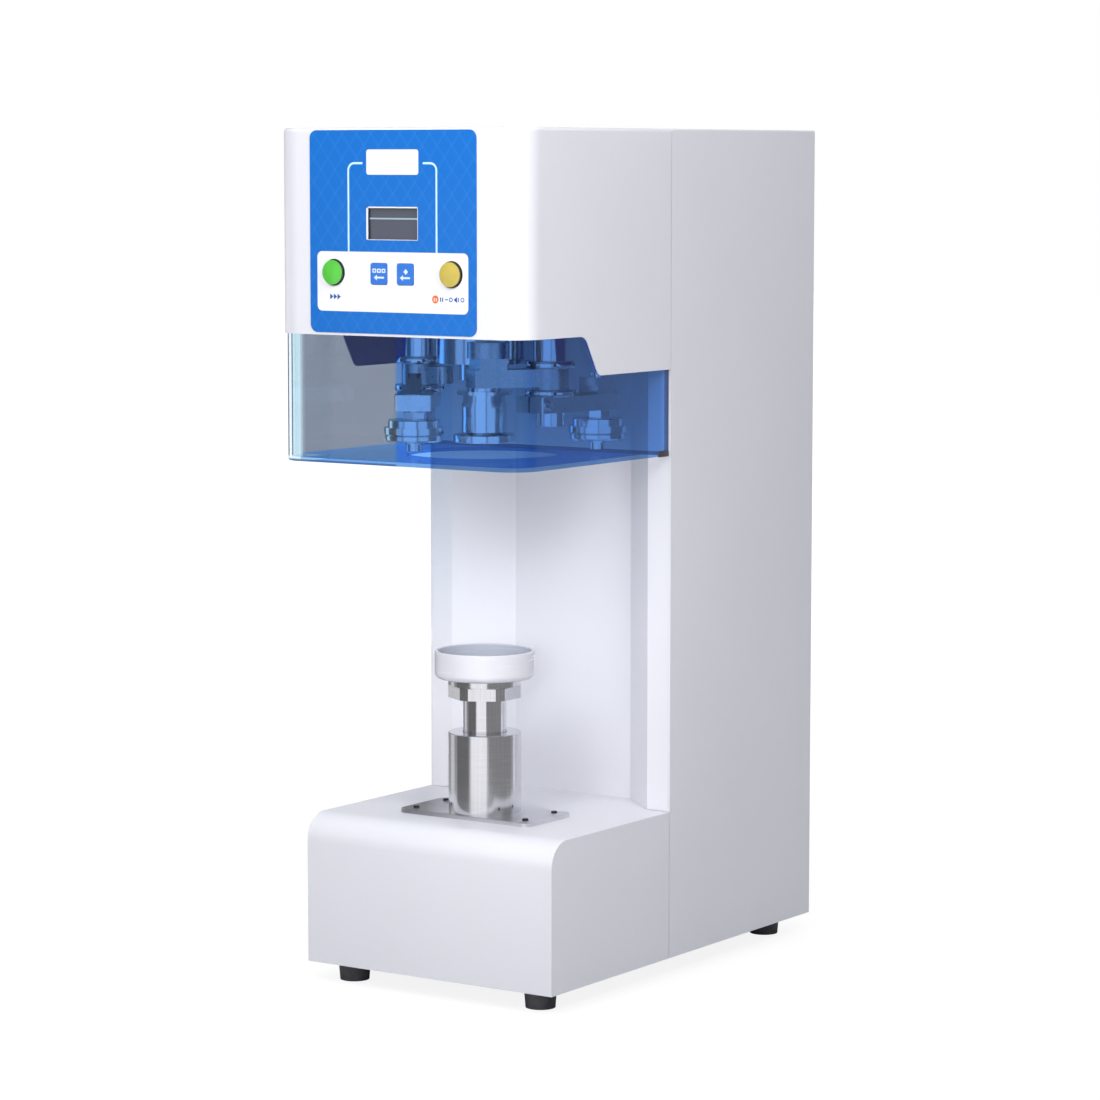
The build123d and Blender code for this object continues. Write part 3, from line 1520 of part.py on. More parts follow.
def arm_shaft(x):
    """One upright shaft: it carries an arm near its foot and a lever above it."""
    return turned(
        [
            (0, pivot_shaft_bottom),
            (pivot_shaft_radius - edge_break, pivot_shaft_bottom),
            (pivot_shaft_radius, pivot_shaft_bottom + edge_break),
            (pivot_shaft_radius, arm_ring_bottom),
            (ring_radius, arm_ring_bottom),
            (ring_radius, arm_ring_bottom + ring_thickness),
            (clip_small_radius, arm_ring_bottom + ring_thickness),
            (clip_small_radius, lever_hub_bottom - edge_break / 2),
            (pivot_shaft_radius, lever_hub_bottom - edge_break / 2),
            (pivot_shaft_radius, lever_hub_top + edge_break / 2),
            (clip_small_radius, lever_hub_top + edge_break / 2),
            (clip_small_radius, upper_ring_bottom),
            (ring_radius, upper_ring_bottom),
            (ring_radius, upper_ring_bottom + ring_thickness),
            (pivot_shaft_radius, upper_ring_bottom + ring_thickness),
            (pivot_shaft_radius, arm_shaft_top),
            (0, arm_shaft_top),
        ],
        x,
        axis_y,
    )


first_arm_shaft = arm_shaft(-pivot_x)
first_arm_shaft.part.label = "first_arm_shaft"
export_step(first_arm_shaft.part, "parts/first_arm_shaft.step")

second_arm_shaft = arm_shaft(pivot_x)
second_arm_shaft.part.label = "second_arm_shaft"
export_step(second_arm_shaft.part, "parts/second_arm_shaft.step")

# Seaming arms: split clamps on their shafts, with a roller under the free end
first_arm_angle = -59.0
arm_half_width = 15.0
arm_reach = 67.0
arm_tail = 24.0
arm_corner = 1.5
roller_reach = 55.0
roller_big_radius = 24.0
roller_side_gap = 17.65
second_roller_x = guard_half_width - guard_sheet - roller_side_gap - roller_big_radius
second_arm_angle = degrees(acos((second_roller_x - pivot_x) / roller_reach))
slit_width = 2.0
clamp_place = 17.6
clamp_radius = 2.5
clamp_gap = 0.2
clamp_head_radius = 4.3
clamp_head_height = 5.0
clamp_length = 26.0
clamp_socket = 4.0
roller_pin_radius = 6.0
shaft_fit = 0.03


def turned_plane(x, angle, z):
    """A level plane at height z on a pivot, with its own x along the given bearing."""
    bearing = radians(angle)
    return Plane(origin=(x, axis_y, z), x_dir=(cos(bearing), sin(bearing), 0), z_dir=(0, 0, 1))


def clamp_plane(x, angle):
    """The plane of an arm's clamp screw, on the side face where its head sits."""
    bearing = radians(angle)
    along = (cos(bearing), sin(bearing), 0)
    across = (-sin(bearing), cos(bearing), 0)
    centre = (
        x - clamp_place * along[0] - arm_half_width * across[0],
        axis_y - clamp_place * along[1] - arm_half_width * across[1],
        arm_bottom + arm_thickness / 2,
    )
    return Plane(origin=centre, x_dir=along, z_dir=across)


def seaming_arm(x, angle):
    """A straight bar, split at its clamped end, with a hole for the roller's pin."""
    with BuildPart() as arm:
        with BuildSketch(turned_plane(x, angle, arm_bottom)):
            with Locations(((arm_reach - arm_tail) / 2, 0)):
                RectangleRounded(arm_reach + arm_tail, 2 * arm_half_width, arm_corner)
            Circle(pivot_shaft_radius + shaft_fit, mode=Mode.SUBTRACT)
            with Locations((roller_reach, 0)):
                Circle(roller_pin_radius + shaft_fit, mode=Mode.SUBTRACT)
            with Locations((-arm_tail / 2, 0)):
                Rectangle(arm_tail, slit_width, mode=Mode.SUBTRACT)
        extrude(amount=arm_thickness)
        with BuildSketch(clamp_plane(x, angle)):
            Circle(clamp_radius + clamp_gap)
        extrude(amount=2 * arm_half_width, mode=Mode.SUBTRACT)
    return arm


first_arm = seaming_arm(-pivot_x, first_arm_angle)
first_arm.part.label = "first_arm"
export_step(first_arm.part, "parts/first_arm.step")

second_arm = seaming_arm(pivot_x, second_arm_angle)
second_arm.part.label = "second_arm"
export_step(second_arm.part, "parts/second_arm.step")


def clamp_screw(x, angle):
    """A socket screw that pulls the split end of an arm together."""
    with BuildPart() as screw:
        with BuildSketch(clamp_plane(x, angle)):
            Circle(clamp_radius)
        extrude(amount=clamp_length)
        with BuildSketch(clamp_plane(x, angle)):
            Circle(clamp_head_radius)
        extrude(amount=-clamp_head_height)
        with BuildSketch(clamp_plane(x, angle).offset(-clamp_head_height)):
            RegularPolygon(clamp_socket / 2, 6, major_radius=False)
        extrude(amount=clamp_head_height / 2, mode=Mode.SUBTRACT)
    return screw


first_clamp_screw = clamp_screw(-pivot_x, first_arm_angle)
first_clamp_screw.part.label = "first_clamp_screw"
export_step(first_clamp_screw.part, "parts/first_clamp_screw.step")

second_clamp_screw = clamp_screw(pivot_x, second_arm_angle)
second_clamp_screw.part.label = "second_clamp_screw"
export_step(second_clamp_screw.part, "parts/second_clamp_screw.step")

# Seaming rollers and the pins on which they turn, one under the end of each arm
roller_drop = 90.4
roller_bottom = head_plate_bottom - roller_drop
roller_lip_height = 5.6
roller_lip_radius = 23.0
roller_lip_edge = 1.6
roller_groove_radius = 22.2
roller_groove_height = 0.8
roller_big_height = 6.0
roller_upper_radius = 20.8
roller_upper_height = 6.2
roller_pin_drop = 98.0
roller_pin_bottom = head_plate_bottom - roller_pin_drop
pin_washer_radius = 9.0
pin_washer_height = 1.5
pin_nut_across = 17.0
pin_nut_height = 5.4
pin_block_size = 21.0
pin_block_height = 13.0
pin_head_height = 4.0
roller_middle = roller_bottom + roller_lip_height
roller_big_top = roller_middle + roller_big_height
roller_top = roller_big_top + roller_upper_height


def roller_centre(x, angle):
    """Where the roller under an arm has its axis."""
    bearing = radians(angle)
    return (x + roller_reach * cos(bearing), axis_y + roller_reach * sin(bearing))


def seaming_roller(x, angle):
    """A hardened roller: rounded lip, seaming groove, wide disc and upper disc."""
    centre = roller_centre(x, angle)
    return turned(
        [
            (roller_pin_radius + slide_gap, roller_bottom),
            (roller_lip_radius - roller_lip_edge, roller_bottom),
            (roller_lip_radius, roller_bottom + roller_lip_edge),
            (roller_lip_radius, roller_middle - roller_groove_height),
            (roller_groove_radius, roller_middle),
            (roller_big_radius, roller_middle + roller_groove_height),
            (roller_big_radius, roller_big_top),
            (roller_upper_radius, roller_big_top),
            (roller_upper_radius, roller_top - edge_break),
            (roller_upper_radius - edge_break, roller_top),
            (roller_pin_radius + slide_gap, roller_top),
        ],
        centre[0],
        centre[1],
    )


first_roller = seaming_roller(-pivot_x, first_arm_angle)
first_roller.part.label = "first_roller"
export_step(first_roller.part, "parts/first_roller.step")

second_roller = seaming_roller(pivot_x, second_arm_angle)
second_roller.part.label = "second_roller"
export_step(second_roller.part, "parts/second_roller.step")


def roller_pin(x, angle, block_size):
    """A pin through roller and arm: washer below, hexagon above the roller, adjusting block on top."""
    bearing = radians(angle)
    centre = roller_centre(x, angle)
    along = (cos(bearing), sin(bearing), 0)

    def level(z):
        return Plane(origin=(centre[0], centre[1], z), x_dir=along, z_dir=(0, 0, 1))

    with BuildPart() as pin:
        with BuildSketch(level(roller_pin_bottom)):
            Circle(roller_pin_radius)
        extrude(amount=arm_top - roller_pin_bottom)
        with BuildSketch(level(roller_bottom - fit_gap - pin_washer_height)):
            Circle(pin_washer_radius)
        extrude(amount=pin_washer_height)
        with BuildSketch(level(roller_top + fit_gap)):
            RegularPolygon(pin_nut_across / 2, 6, major_radius=False)
        extrude(amount=pin_nut_height)
        with BuildSketch(level(arm_top)):
            Rectangle(block_size, block_size)
        extrude(amount=pin_block_height)
        with BuildSketch(level(arm_top + pin_block_height)):
            Circle(roller_pin_radius - slide_gap)
        extrude(amount=pin_head_height)
    return pin


pin_post_size = 11.5
first_roller_pin = roller_pin(-pivot_x, first_arm_angle, pin_post_size)
first_roller_pin.part.label = "first_roller_pin"
export_step(first_roller_pin.part, "parts/first_roller_pin.step")

second_roller_pin = roller_pin(pivot_x, second_arm_angle, pin_block_size)
second_roller_pin.part.label = "second_roller_pin"
export_step(second_roller_pin.part, "parts/second_roller_pin.step")

# Levers clamped on the shafts: a short one on the first, and one with a stop roller on the second
lever_hub_radius = 14.85
first_lever_angle = 0.0
first_lever_reach = 31.5
first_lever_half_width = 8.5
first_lever_drop = 46.3
first_lever_bottom = head_plate_bottom - first_lever_drop
first_lever_height = 13.8
with BuildPart() as first_lever:
    with BuildSketch(turned_plane(-pivot_x, first_lever_angle, lever_hub_bottom)):
        Circle(lever_hub_radius)
    extrude(amount=lever_hub_top - lever_hub_bottom)
    with BuildSketch(turned_plane(-pivot_x, first_lever_angle, first_lever_bottom)):
        with Locations(((first_lever_reach - first_lever_half_width) / 2, 0)):
            Rectangle(first_lever_reach - first_lever_half_width, 2 * first_lever_half_width)
        with Locations((first_lever_reach - first_lever_half_width, 0)):
            Circle(first_lever_half_width)
    extrude(amount=first_lever_height)
    with BuildSketch(turned_plane(-pivot_x, first_lever_angle, lever_hub_bottom)):
        Circle(pivot_shaft_radius + shaft_fit)
    extrude(amount=lever_hub_top - lever_hub_bottom, mode=Mode.SUBTRACT)
first_lever.part.label = "first_lever"
export_step(first_lever.part, "parts/first_lever.step")

second_lever_angle = 236.7
second_lever_reach = 68.0
second_lever_half_width = 10.0
second_lever_drop = 45.0
second_lever_bottom = head_plate_bottom - second_lever_drop
second_lever_height = 14.2
stop_place = 53.0
stop_radius = 16.8
stop_drop = 21.7
stop_bottom = head_plate_bottom - stop_drop
stop_height = 12.7
stop_block_size = 23.0
with BuildPart() as second_lever:
    with BuildSketch(turned_plane(pivot_x, second_lever_angle, lever_hub_bottom)):
        Circle(lever_hub_radius)
    extrude(amount=lever_hub_top - lever_hub_bottom)
    with BuildSketch(turned_plane(pivot_x, second_lever_angle, second_lever_bottom)):
        with Locations((second_lever_reach / 2, 0)):
            Rectangle(second_lever_reach, 2 * second_lever_half_width)
    extrude(amount=second_lever_height)
    with BuildSketch(turned_plane(pivot_x, second_lever_angle, second_lever_bottom + second_lever_height)):
        with Locations((stop_place, 0)):
            Rectangle(stop_block_size, stop_block_size)
    extrude(amount=stop_bottom - second_lever_bottom - second_lever_height)
    with BuildSketch(turned_plane(pivot_x, second_lever_angle, stop_bottom)):
        with Locations((stop_place, 0)):
            Circle(stop_radius)
    extrude(amount=stop_height)
    with BuildSketch(turned_plane(pivot_x, second_lever_angle, lever_hub_bottom)):
        Circle(pivot_shaft_radius + shaft_fit)
    extrude(amount=lever_hub_top - lever_hub_bottom, mode=Mode.SUBTRACT)
second_lever.part.label = "second_lever"
export_step(second_lever.part, "parts/second_lever.step")
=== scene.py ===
import bpy, bmesh, math
from mathutils import Matrix, Vector


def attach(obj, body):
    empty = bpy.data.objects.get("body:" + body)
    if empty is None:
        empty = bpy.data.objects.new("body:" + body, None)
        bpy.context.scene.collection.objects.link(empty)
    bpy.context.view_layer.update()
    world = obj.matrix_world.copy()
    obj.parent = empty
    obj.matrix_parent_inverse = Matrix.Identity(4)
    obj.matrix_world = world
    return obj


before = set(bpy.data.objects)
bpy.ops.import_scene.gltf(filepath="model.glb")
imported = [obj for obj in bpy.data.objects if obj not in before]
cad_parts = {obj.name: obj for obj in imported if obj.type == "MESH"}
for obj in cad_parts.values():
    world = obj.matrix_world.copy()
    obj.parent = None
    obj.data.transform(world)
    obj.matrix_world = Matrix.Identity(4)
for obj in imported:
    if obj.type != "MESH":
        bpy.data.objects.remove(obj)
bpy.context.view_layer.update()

# Camera: a long lens on a stand at the height of the panel, to the right of the machine's front.
# Its place and aim are those from which the machine was pictured.
eye = Vector((1.71574, -2.55172, 0.66730))
gaze = Vector((-0.555805, 0.824766, -0.104125))
rightward = Vector((0.829255, 0.558870, 0.000307))
upward = Vector((-0.058446, 0.086176, 0.994564))
camera_data = bpy.data.cameras.new("camera")
camera_data.sensor_fit = "HORIZONTAL"
camera_data.sensor_width = 36.0
camera_data.lens = 121.63
camera_data.clip_end = 60.0
camera = bpy.data.objects.new("camera", camera_data)
turn = Matrix((rightward, upward, -gaze)).transposed().to_4x4()
camera.matrix_world = Matrix.Translation(eye) @ turn
bpy.context.scene.collection.objects.link(camera)
bpy.context.scene.camera = camera
bpy.context.scene.view_settings.view_transform = "Standard"


# Floor and studio: a white paper sweep, soft boxes before, above, beside and behind the machine,
# and upright white cards and dark flags, seen only by reflection, that give metal its streaks.
class Shade:
    """A socket of a node tree. Sums and products on it add Math nodes."""

    def __init__(self, owner, socket):
        self.owner = owner
        self.socket = socket

    def math(self, operation, first, second=None):
        sockets = {0: first} if second is None else {0: first, 1: second}
        return self.owner.add("ShaderNodeMath", {"operation": operation}, sockets)

    def __add__(self, other):
        return self.math("ADD", self, other)

    def __sub__(self, other):
        return self.math("SUBTRACT", self, other)

    def __mul__(self, other):
        return self.math("MULTIPLY", self, other)

    def __truediv__(self, other):
        return self.math("DIVIDE", self, other)

    def __rsub__(self, other):
        return self.math("SUBTRACT", other, self)

    def __pow__(self, other):
        return self.math("POWER", self, other)

    def __abs__(self):
        return self.math("ABSOLUTE", self)

    def __mod__(self, other):
        return self.math("FLOORED_MODULO", self, other)

    __radd__ = __add__
    __rmul__ = __mul__

    def above(self, other):
        return self.math("MAXIMUM", self, other)

    def below(self, other):
        return self.math("MINIMUM", self, other)

    def held(self):
        """Kept between 0 and 1."""
        return self.above(0.0).below(1.0)

    def past(self, start, length):
        """0 up to a start, and 1 from a length after it."""
        return ((self - start) / length).held()

    def short_of(self, end, length):
        """1 up to a length before an end, and 0 from the end on."""
        return ((end - self) / length).held()


class Tree:
    """A node tree under way, with one method that adds any node."""

    def __init__(self, tree, output):
        self.tree = tree
        self.output = tree.nodes[output]

    def add(self, kind, settings, sockets, output=0):
        node = self.tree.nodes.new(kind)
        for name, value in settings.items():
            setattr(node, name, value)
        for name, value in sockets.items():
            if isinstance(value, Shade):
                self.tree.links.new(value.socket, node.inputs[name])
            else:
                node.inputs[name].default_value = value
        return Shade(self, node.outputs[output])

    def surface(self, shade):
        self.tree.links.new(shade.socket, self.output.inputs["Surface"])


class Finish(Tree):
    """A material under way, with its Principled shader."""

    def __init__(self, name, **fixed):
        self.material = bpy.data.materials.new(name)
        self.material.use_nodes = True
        super().__init__(self.material.node_tree, "Material Output")
        self.shader = self.tree.nodes["Principled BSDF"]
        self.principled = Shade(self, self.shader.outputs[0])
        for socket, value in fixed.items():
            self.shader.inputs[socket.replace("_", " ")].default_value = value
        self.place = self.add("ShaderNodeTexCoord", {}, {}, "Object")

    def ramp(self, driver, stops):
        """Colours along a value from 0 to 1."""
        shade = self.add("ShaderNodeValToRGB", {}, {0: driver})
        elements = shade.socket.node.color_ramp.elements
        while len(elements) < len(stops):
            elements.new(0.5)
        for element, (position, colour) in zip(elements, stops):
            element.position = position
            element.color = (*colour, 1.0)
        return shade

    def blend(self, share, under, over):
        """The colour under, covered by the colour over where share is 1."""
        sockets = {"Factor": share}
        for index, colour in ((6, under), (7, over)):
            sockets[index] = colour if isinstance(colour, Shade) else (*colour, 1.0)
        return self.add("ShaderNodeMix", {"data_type": "RGBA"}, sockets, 2)

    def axes(self):
        """Distances along X, Y and Z in metres, in the piece's own frame."""
        split = self.add("ShaderNodeSeparateXYZ", {}, {0: self.place})
        outputs = split.socket.node.outputs
        return [Shade(self, outputs[index]) for index in range(3)]

    def noise(self, scale, detail=2.0, stretch=(1.0, 1.0, 1.0)):
        """Noise of a number of lumps per metre, drawn out along an axis by a small factor there."""
        drawn = self.add(
            "ShaderNodeVectorMath", {"operation": "MULTIPLY"}, {0: self.place, 1: stretch}
        )
        return self.add(
            "ShaderNodeTexNoise", {}, {"Vector": drawn, "Scale": scale, "Detail": detail}
        )

    def bump(self, height, distance, strength):
        self.feed(
            "Normal",
            self.add(
                "ShaderNodeBump", {}, {"Height": height, "Distance": distance, "Strength": strength}
            ),
        )

    def roughen(self, pattern, least, swing):
        """Roughness from a least value up, by a pattern from 0 to 1."""
        self.feed("Roughness", pattern * swing + least)

    def feed(self, name, shade):
        self.tree.links.new(shade.socket, self.shader.inputs[name])


def sheet(name, corners, finish):
    """A flat sheet between four corners, for the studio."""
    mesh = bpy.data.meshes.new(name)
    mesh.from_pydata(corners, [], [(0, 1, 2, 3)])
    mesh.materials.append(finish.material)
    piece = bpy.data.objects.new(name, mesh)
    bpy.context.scene.collection.objects.link(piece)
    return piece


paper = Finish("paper_floor", Roughness=0.9, Base_Color=(0.50, 0.50, 0.51, 1))
fade_start, fade_length = 0.6, 1.6
near_glow, more_glow = 0.66, 0.12
floor_x, floor_y, _ = paper.axes()
far = ((floor_x ** 2 + floor_y ** 2) ** 0.5).past(fade_start, fade_length)
seen = paper.add("ShaderNodeLightPath", {}, {}, "Is Camera Ray")
glow = paper.add("ShaderNodeEmission", {}, {"Color": (1, 1, 1, 1), "Strength": 1.32})
glow_share = seen * (far * more_glow + near_glow)
paper.surface(
    paper.add("ShaderNodeMixShader", {}, {0: glow_share, 1: paper.principled, 2: glow})
)
reach = 14
floor = sheet(
    "floor", [(-reach, -reach, 0), (reach, -reach, 0), (reach, reach, 0), (-reach, reach, 0)], paper
)

world = bpy.data.worlds.new("studio")
world.use_nodes = True
air = Tree(world.node_tree, "World Output")
sky = air.tree.nodes["Background"]
sky.inputs["Color"].default_value = (0.93, 0.95, 1.0, 1)
sky.inputs["Strength"].default_value = 0.45
white_sky = air.add("ShaderNodeBackground", {}, {"Color": (1, 1, 1, 1), "Strength": 1.0})
looked_at = air.add("ShaderNodeLightPath", {}, {}, "Is Camera Ray")
looked_through = air.add("ShaderNodeLightPath", {}, {}, "Is Transmission Ray")
air.surface(
    air.add(
        "ShaderNodeMixShader",
        {},
        {0: looked_at.above(looked_through), 1: Shade(air, sky.outputs[0]), 2: white_sky},
    )
)
bpy.context.scene.world = world

# name, place, aimed at, width and height, watts, spread in degrees
soft_boxes = [
    ("front_box", (0.33, -1.25, 0.54), (0.0, -0.1, 0.5), 0.9, 2.2, 180),
    ("head_box", (0.05, -1.10, 1.15), (0.0, -0.22, 0.60), 0.45, 6.6, 180),
    ("low_box", (0.62, -1.15, 0.48), (-0.035, 0.0, 0.27), 0.3, 0.115, 24),
    ("side_box", (0.90, -0.55, 1.10), (0.12, 0.0, 0.50), 0.35, 6.2, 180),
    ("left_box", (-1.15, -0.20, 0.60), (0.0, -0.1, 0.4), 0.5, 0.8, 180),
    ("overhead_box", (0.1, -0.5, 2.1), (0.0, 0.0, 0.35), 1.0, 3.0, 180),
    ("back_box", (-0.75, 1.35, 0.80), (-0.05, 0.22, 0.40), 0.8, 7.0, 180),
]
for name, place, aim, size, watts, spread in soft_boxes:
    lamp = bpy.data.lights.new(name, "AREA")
    lamp.shape = "SQUARE"
    lamp.size = size
    lamp.energy = watts
    lamp.spread = math.radians(spread)
    holder = bpy.data.objects.new(name, lamp)
    holder.visible_camera = False
    holder.visible_glossy = False
    holder.location = place
    holder.rotation_euler = (Vector(aim) - Vector(place)).to_track_quat("-Z", "Y").to_euler()
    bpy.context.scene.collection.objects.link(holder)

# name, middle, direction across, half width, brightness as seen in metal, heights of foot and top
cards = [
    ("card_left", (-0.76, -0.14), (0.09, -0.996), 0.15, 0.70, 0.005, 0.995),
    ("flag_left", (-0.472, -0.683), (0.777, -0.629), 0.32, 0.17, 0.005, 0.995),
    ("card_front", (0.207, -0.820), (0.961, 0.276), 0.366, 1.10, 0.005, 0.995),
    ("flag_right", (0.748, -0.146), (0.061, 0.998), 0.597, 0.27, 0.005, 0.995),
    ("upper_card_right", (0.533, -0.310), (0.367, 0.930), 0.225, 0.95, 0.340, 0.640),
    ("upper_card_left", (-0.257, -0.650), (0.906, -0.423), 0.110, 0.90, 0.340, 0.640),
    ("upper_strip_left", (-0.610, -0.150), (0.09, -0.996), 0.120, 1.60, 0.340, 0.640),
]
for name, middle, across, half_width, brightness, foot, top in cards:
    cloth = Finish(name)
    cloth.surface(
        cloth.add(
            "ShaderNodeEmission", {}, {"Color": (1, 1, 1.02, 1), "Strength": brightness}
        )
    )
    side = Vector(across).normalized() * half_width
    near, away = Vector(middle) - side, Vector(middle) + side
    card = sheet(name, [(*near, foot), (*away, foot), (*away, top), (*near, top)], cloth)
    card.visible_camera = False
    card.visible_diffuse = False
    card.visible_shadow = False
    card.visible_transmission = False


# Sheet-metal covers: the base cover, the head cover, the rear cover and the panel in the recess are
# folded from steel sheet and powder-coated a cool white, with a faint orange peel. The head
# cover's inner side walls are painted dark blue: painted shade for their shaded inside, lit blue
# through the guard.
def dress(finish, *nodes, edge=0.0):
    """Gives CAD nodes a finish, and breaks their sharp edges so that they catch the light."""
    for name in nodes:
        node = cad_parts[name]
        for place in node.material_slots:
            place.material = finish.material
        if edge > 0:
            rounding = node.modifiers.new("broken_edge", "BEVEL")
            rounding.width = edge
            rounding.segments = 2
            rounding.limit_method = "ANGLE"
            rounding.angle_limit = math.radians(40)
            rounding.harden_normals = False


def powder(name):
    """Cool white powder coat with a faint orange peel."""
    finish = Finish(name, Coat_Weight=0.15, Coat_Roughness=0.2)
    peel = finish.noise(scale=950.0)
    drift = finish.noise(scale=7.0, detail=3.0)
    finish.roughen(peel, least=0.34, swing=0.10)
    finish.bump(peel, distance=0.00004, strength=0.5)
    return finish, finish.ramp(drift, [(0.25, (0.765, 0.77, 0.82)), (0.75, (0.79, 0.79, 0.84))])


coat, white = powder("powder_coat")
coat.feed("Base Color", white)
dress(coat, "base_cover", "rear_cover", "column_panel")
head_coat, white = powder("head_powder_coat")
# Painted shade: the head cover's inner side walls are coloured dark blue, standing for the shade
# inside.
painted_shade_blue = (0.004, 0.045, 0.62)
wall_face, front_corner, top_fold, paint_edge = 0.1192, -0.1960, 0.6800, 0.0002
head_x, head_y, head_z = head_coat.axes()
painted_shade_mask = (
    abs(head_x).short_of(wall_face, paint_edge)
    * head_y.past(front_corner, paint_edge)
    * head_z.short_of(top_fold, paint_edge)
)
head_coat.feed("Base Color", head_coat.blend(painted_shade_mask, white, painted_shade_blue))
dress(head_coat, "head_cover")


# Base pan, posts and plates: zinc-plated steel with a fine crystal spangle. Four round rubber feet,
# held by screws from below, have a moulded grain with scuffs.
def darker(colour, share):
    return tuple(channel * share for channel in colour)


def plated(name, colour):
    """Zinc-plated steel: dull mottled grey with rubbed streaks."""
    finish = Finish(name, Metallic=1.0)
    spangle = finish.noise(scale=260.0, detail=3.0)
    cloud = finish.noise(scale=35.0)
    tones = [(0.3, darker(colour, 0.82)), (0.7, colour)]
    finish.feed("Base Color", finish.ramp(cloud, tones))
    finish.roughen(spangle, least=0.30, swing=0.22)
    finish.bump(spangle, distance=0.00003, strength=0.4)
    return finish


zinc = plated("zinc_plate", (0.56, 0.57, 0.58))
dress(zinc, "base_pan", "column_posts", "head_plate", "cam_brackets", "lift_table")

rubber = Finish("foot_rubber", Specular_IOR_Level=0.4)
grain = rubber.noise(scale=1400.0, detail=3.0)
scuff = rubber.noise(scale=60.0, detail=4.0)
rubber.feed(
    "Base Color",
    rubber.ramp(scuff, [(0.35, (0.060, 0.058, 0.066)), (0.75, (0.115, 0.112, 0.124))]),
)
rubber.roughen(grain, least=0.6, swing=0.2)
rubber.bump(grain, distance=0.00008, strength=0.6)
dress(rubber, "feet", edge=0.0008)
screw_metal = plated("screw_zinc", (0.50, 0.50, 0.51))
dress(screw_metal, "foot_screws", "cover_screws", "guard_screws")


# Lift plate: brushed stainless sheet on the base's top, its grain from left to right and its left
# end painted darker, a painted reflection of darker surroundings. Four black screws with low
# button heads hold it.
def brushed(name, stretch, rough, colour=None):
    """Metal brushed along one axis, with fine scratches and a slight unevenness of tone."""
    finish = Finish(name, Metallic=1.0)
    scratch = finish.noise(900.0, 3.0, stretch)
    swing = 0.22
    if colour:
        band = finish.noise(120.0, 2.0, stretch)
        tones = [(0.3, darker(colour, 0.80)), (0.7, colour)]
        finish.feed("Base Color", finish.ramp(scratch * 0.6 + band * 0.4, tones))
    finish.roughen(scratch, least=rough - swing / 2, swing=swing)
    finish.bump(scratch, distance=0.00002, strength=0.5)
    return finish


def seat(name, shape, finish, body):
    """Makes a piece of a finished shape, which rides with a body."""
    mesh = bpy.data.meshes.new(name)
    shape.to_mesh(mesh)
    shape.free()
    mesh.materials.append(finish.material)
    piece = bpy.data.objects.new(name, mesh)
    bpy.context.scene.collection.objects.link(piece)
    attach(piece, body)


plate_metal = brushed("brushed_plate", (0.03, 1.0, 1.0), 0.33)
# Painted reflection: the plate's colour darkens toward its left end, with a slight uneven tone.
reflection_start, reflection_length, unevenness = -0.055, 0.075, 0.25
plate_x, _, _ = plate_metal.axes()
tone_and_painted_reflection = plate_metal.noise(14.0, 3.0) * unevenness + (plate_x - reflection_start) / reflection_length
reflection_tones = [(0.0, (0.30, 0.31, 0.33)), (0.45, (0.46, 0.46, 0.48)), (1.0, (0.74, 0.74, 0.77))]
plate_metal.feed("Base Color", plate_metal.ramp(tone_and_painted_reflection, reflection_tones))
dress(plate_metal, "lift_plate", edge=0.0003)

black_screw = Finish(
    "black_screw", Metallic=0.6, Base_Color=(0.03, 0.03, 0.032, 1), Roughness=0.35
)
dress(black_screw, "lift_plate_screws", edge=0.0003)
plate_top, head_height, head_foot_radius, head_top_radius = 0.1409, 0.0016, 0.0027, 0.0021
shape = bmesh.new()
for x in (-0.0540, 0.0540):
    for y in (-0.12125, -0.07975):
        bmesh.ops.create_cone(
            shape, cap_ends=True, segments=32,
            radius1=head_foot_radius, radius2=head_top_radius, depth=head_height,
            matrix=Matrix.Translation((x, y, plate_top + head_height / 2)),
        )
seat("plate_screw_heads", shape, black_screw, "frame_body")


# Sleeve, shaft and nut: turned stainless, so their tool marks run round them.
# The cup's nut has a ground collar and six flats.
def turned(name, colour, rough=0.13, marks=1.0):
    """Turned metal: fine rings across Z, with upright streaks of tone."""
    finish = Finish(name, Metallic=1.0)
    ring = finish.noise(1600.0, 2.0, (0.02, 0.02, 1.0))
    streak = finish.noise(700.0, 3.0, (1.0, 1.0, 0.015))
    tones = [(0.3, darker(colour, 1.0 - 0.16 * marks)), (0.7, colour)]
    swing = 0.10 * marks
    finish.feed("Base Color", finish.ramp(streak * 0.5 + ring * 0.5, tones))
    finish.roughen(ring, least=rough - swing / 2, swing=swing)
    finish.bump(ring, distance=0.00001, strength=0.4 * marks)
    return finish


stainless = turned("turned_stainless", (0.77, 0.77, 0.80))
dress(stainless, "lift_sleeve", "lift_nut", edge=0.0004)
chrome = turned("chromed_shaft", (0.77, 0.77, 0.80), rough=0.09)
dress(chrome, "lift_shaft")
bronze = turned("sintered_bronze", (0.60, 0.40, 0.18), rough=0.4)
dress(bronze, "lift_bush")

# Cup: a white plastic cup that holds the can's foot, turned from solid with a satin surface.
# Its inside is painted darker, a painted shade in its hollow.
white_plastic = Finish("cup_plastic", Coat_Weight=0.3, Coat_Roughness=0.15)
axis_y, inside_radius, lip_blur = -0.1005, 0.0385, 0.0006
satin = white_plastic.noise(700.0, 2.0, (0.05, 0.05, 1.0))
haze = white_plastic.noise(scale=30.0, detail=3.0)
cup_x, cup_y, _ = white_plastic.axes()
radius = (cup_x ** 2 + (cup_y - axis_y) ** 2) ** 0.5
# Painted shade: the colour within the bore is darker, standing for the shade in the hollow.
painted_shade_inside = radius.short_of(inside_radius, lip_blur)
outer = white_plastic.ramp(haze, [(0.3, (0.68, 0.68, 0.73)), (0.7, (0.72, 0.72, 0.77))])
white_plastic.feed("Base Color", white_plastic.blend(painted_shade_inside, outer, (0.45, 0.47, 0.54)))
white_plastic.roughen(satin, least=0.18, swing=0.15)
white_plastic.bump(satin, distance=0.00001, strength=0.3)
dress(white_plastic, "can_cup", edge=0.0004)

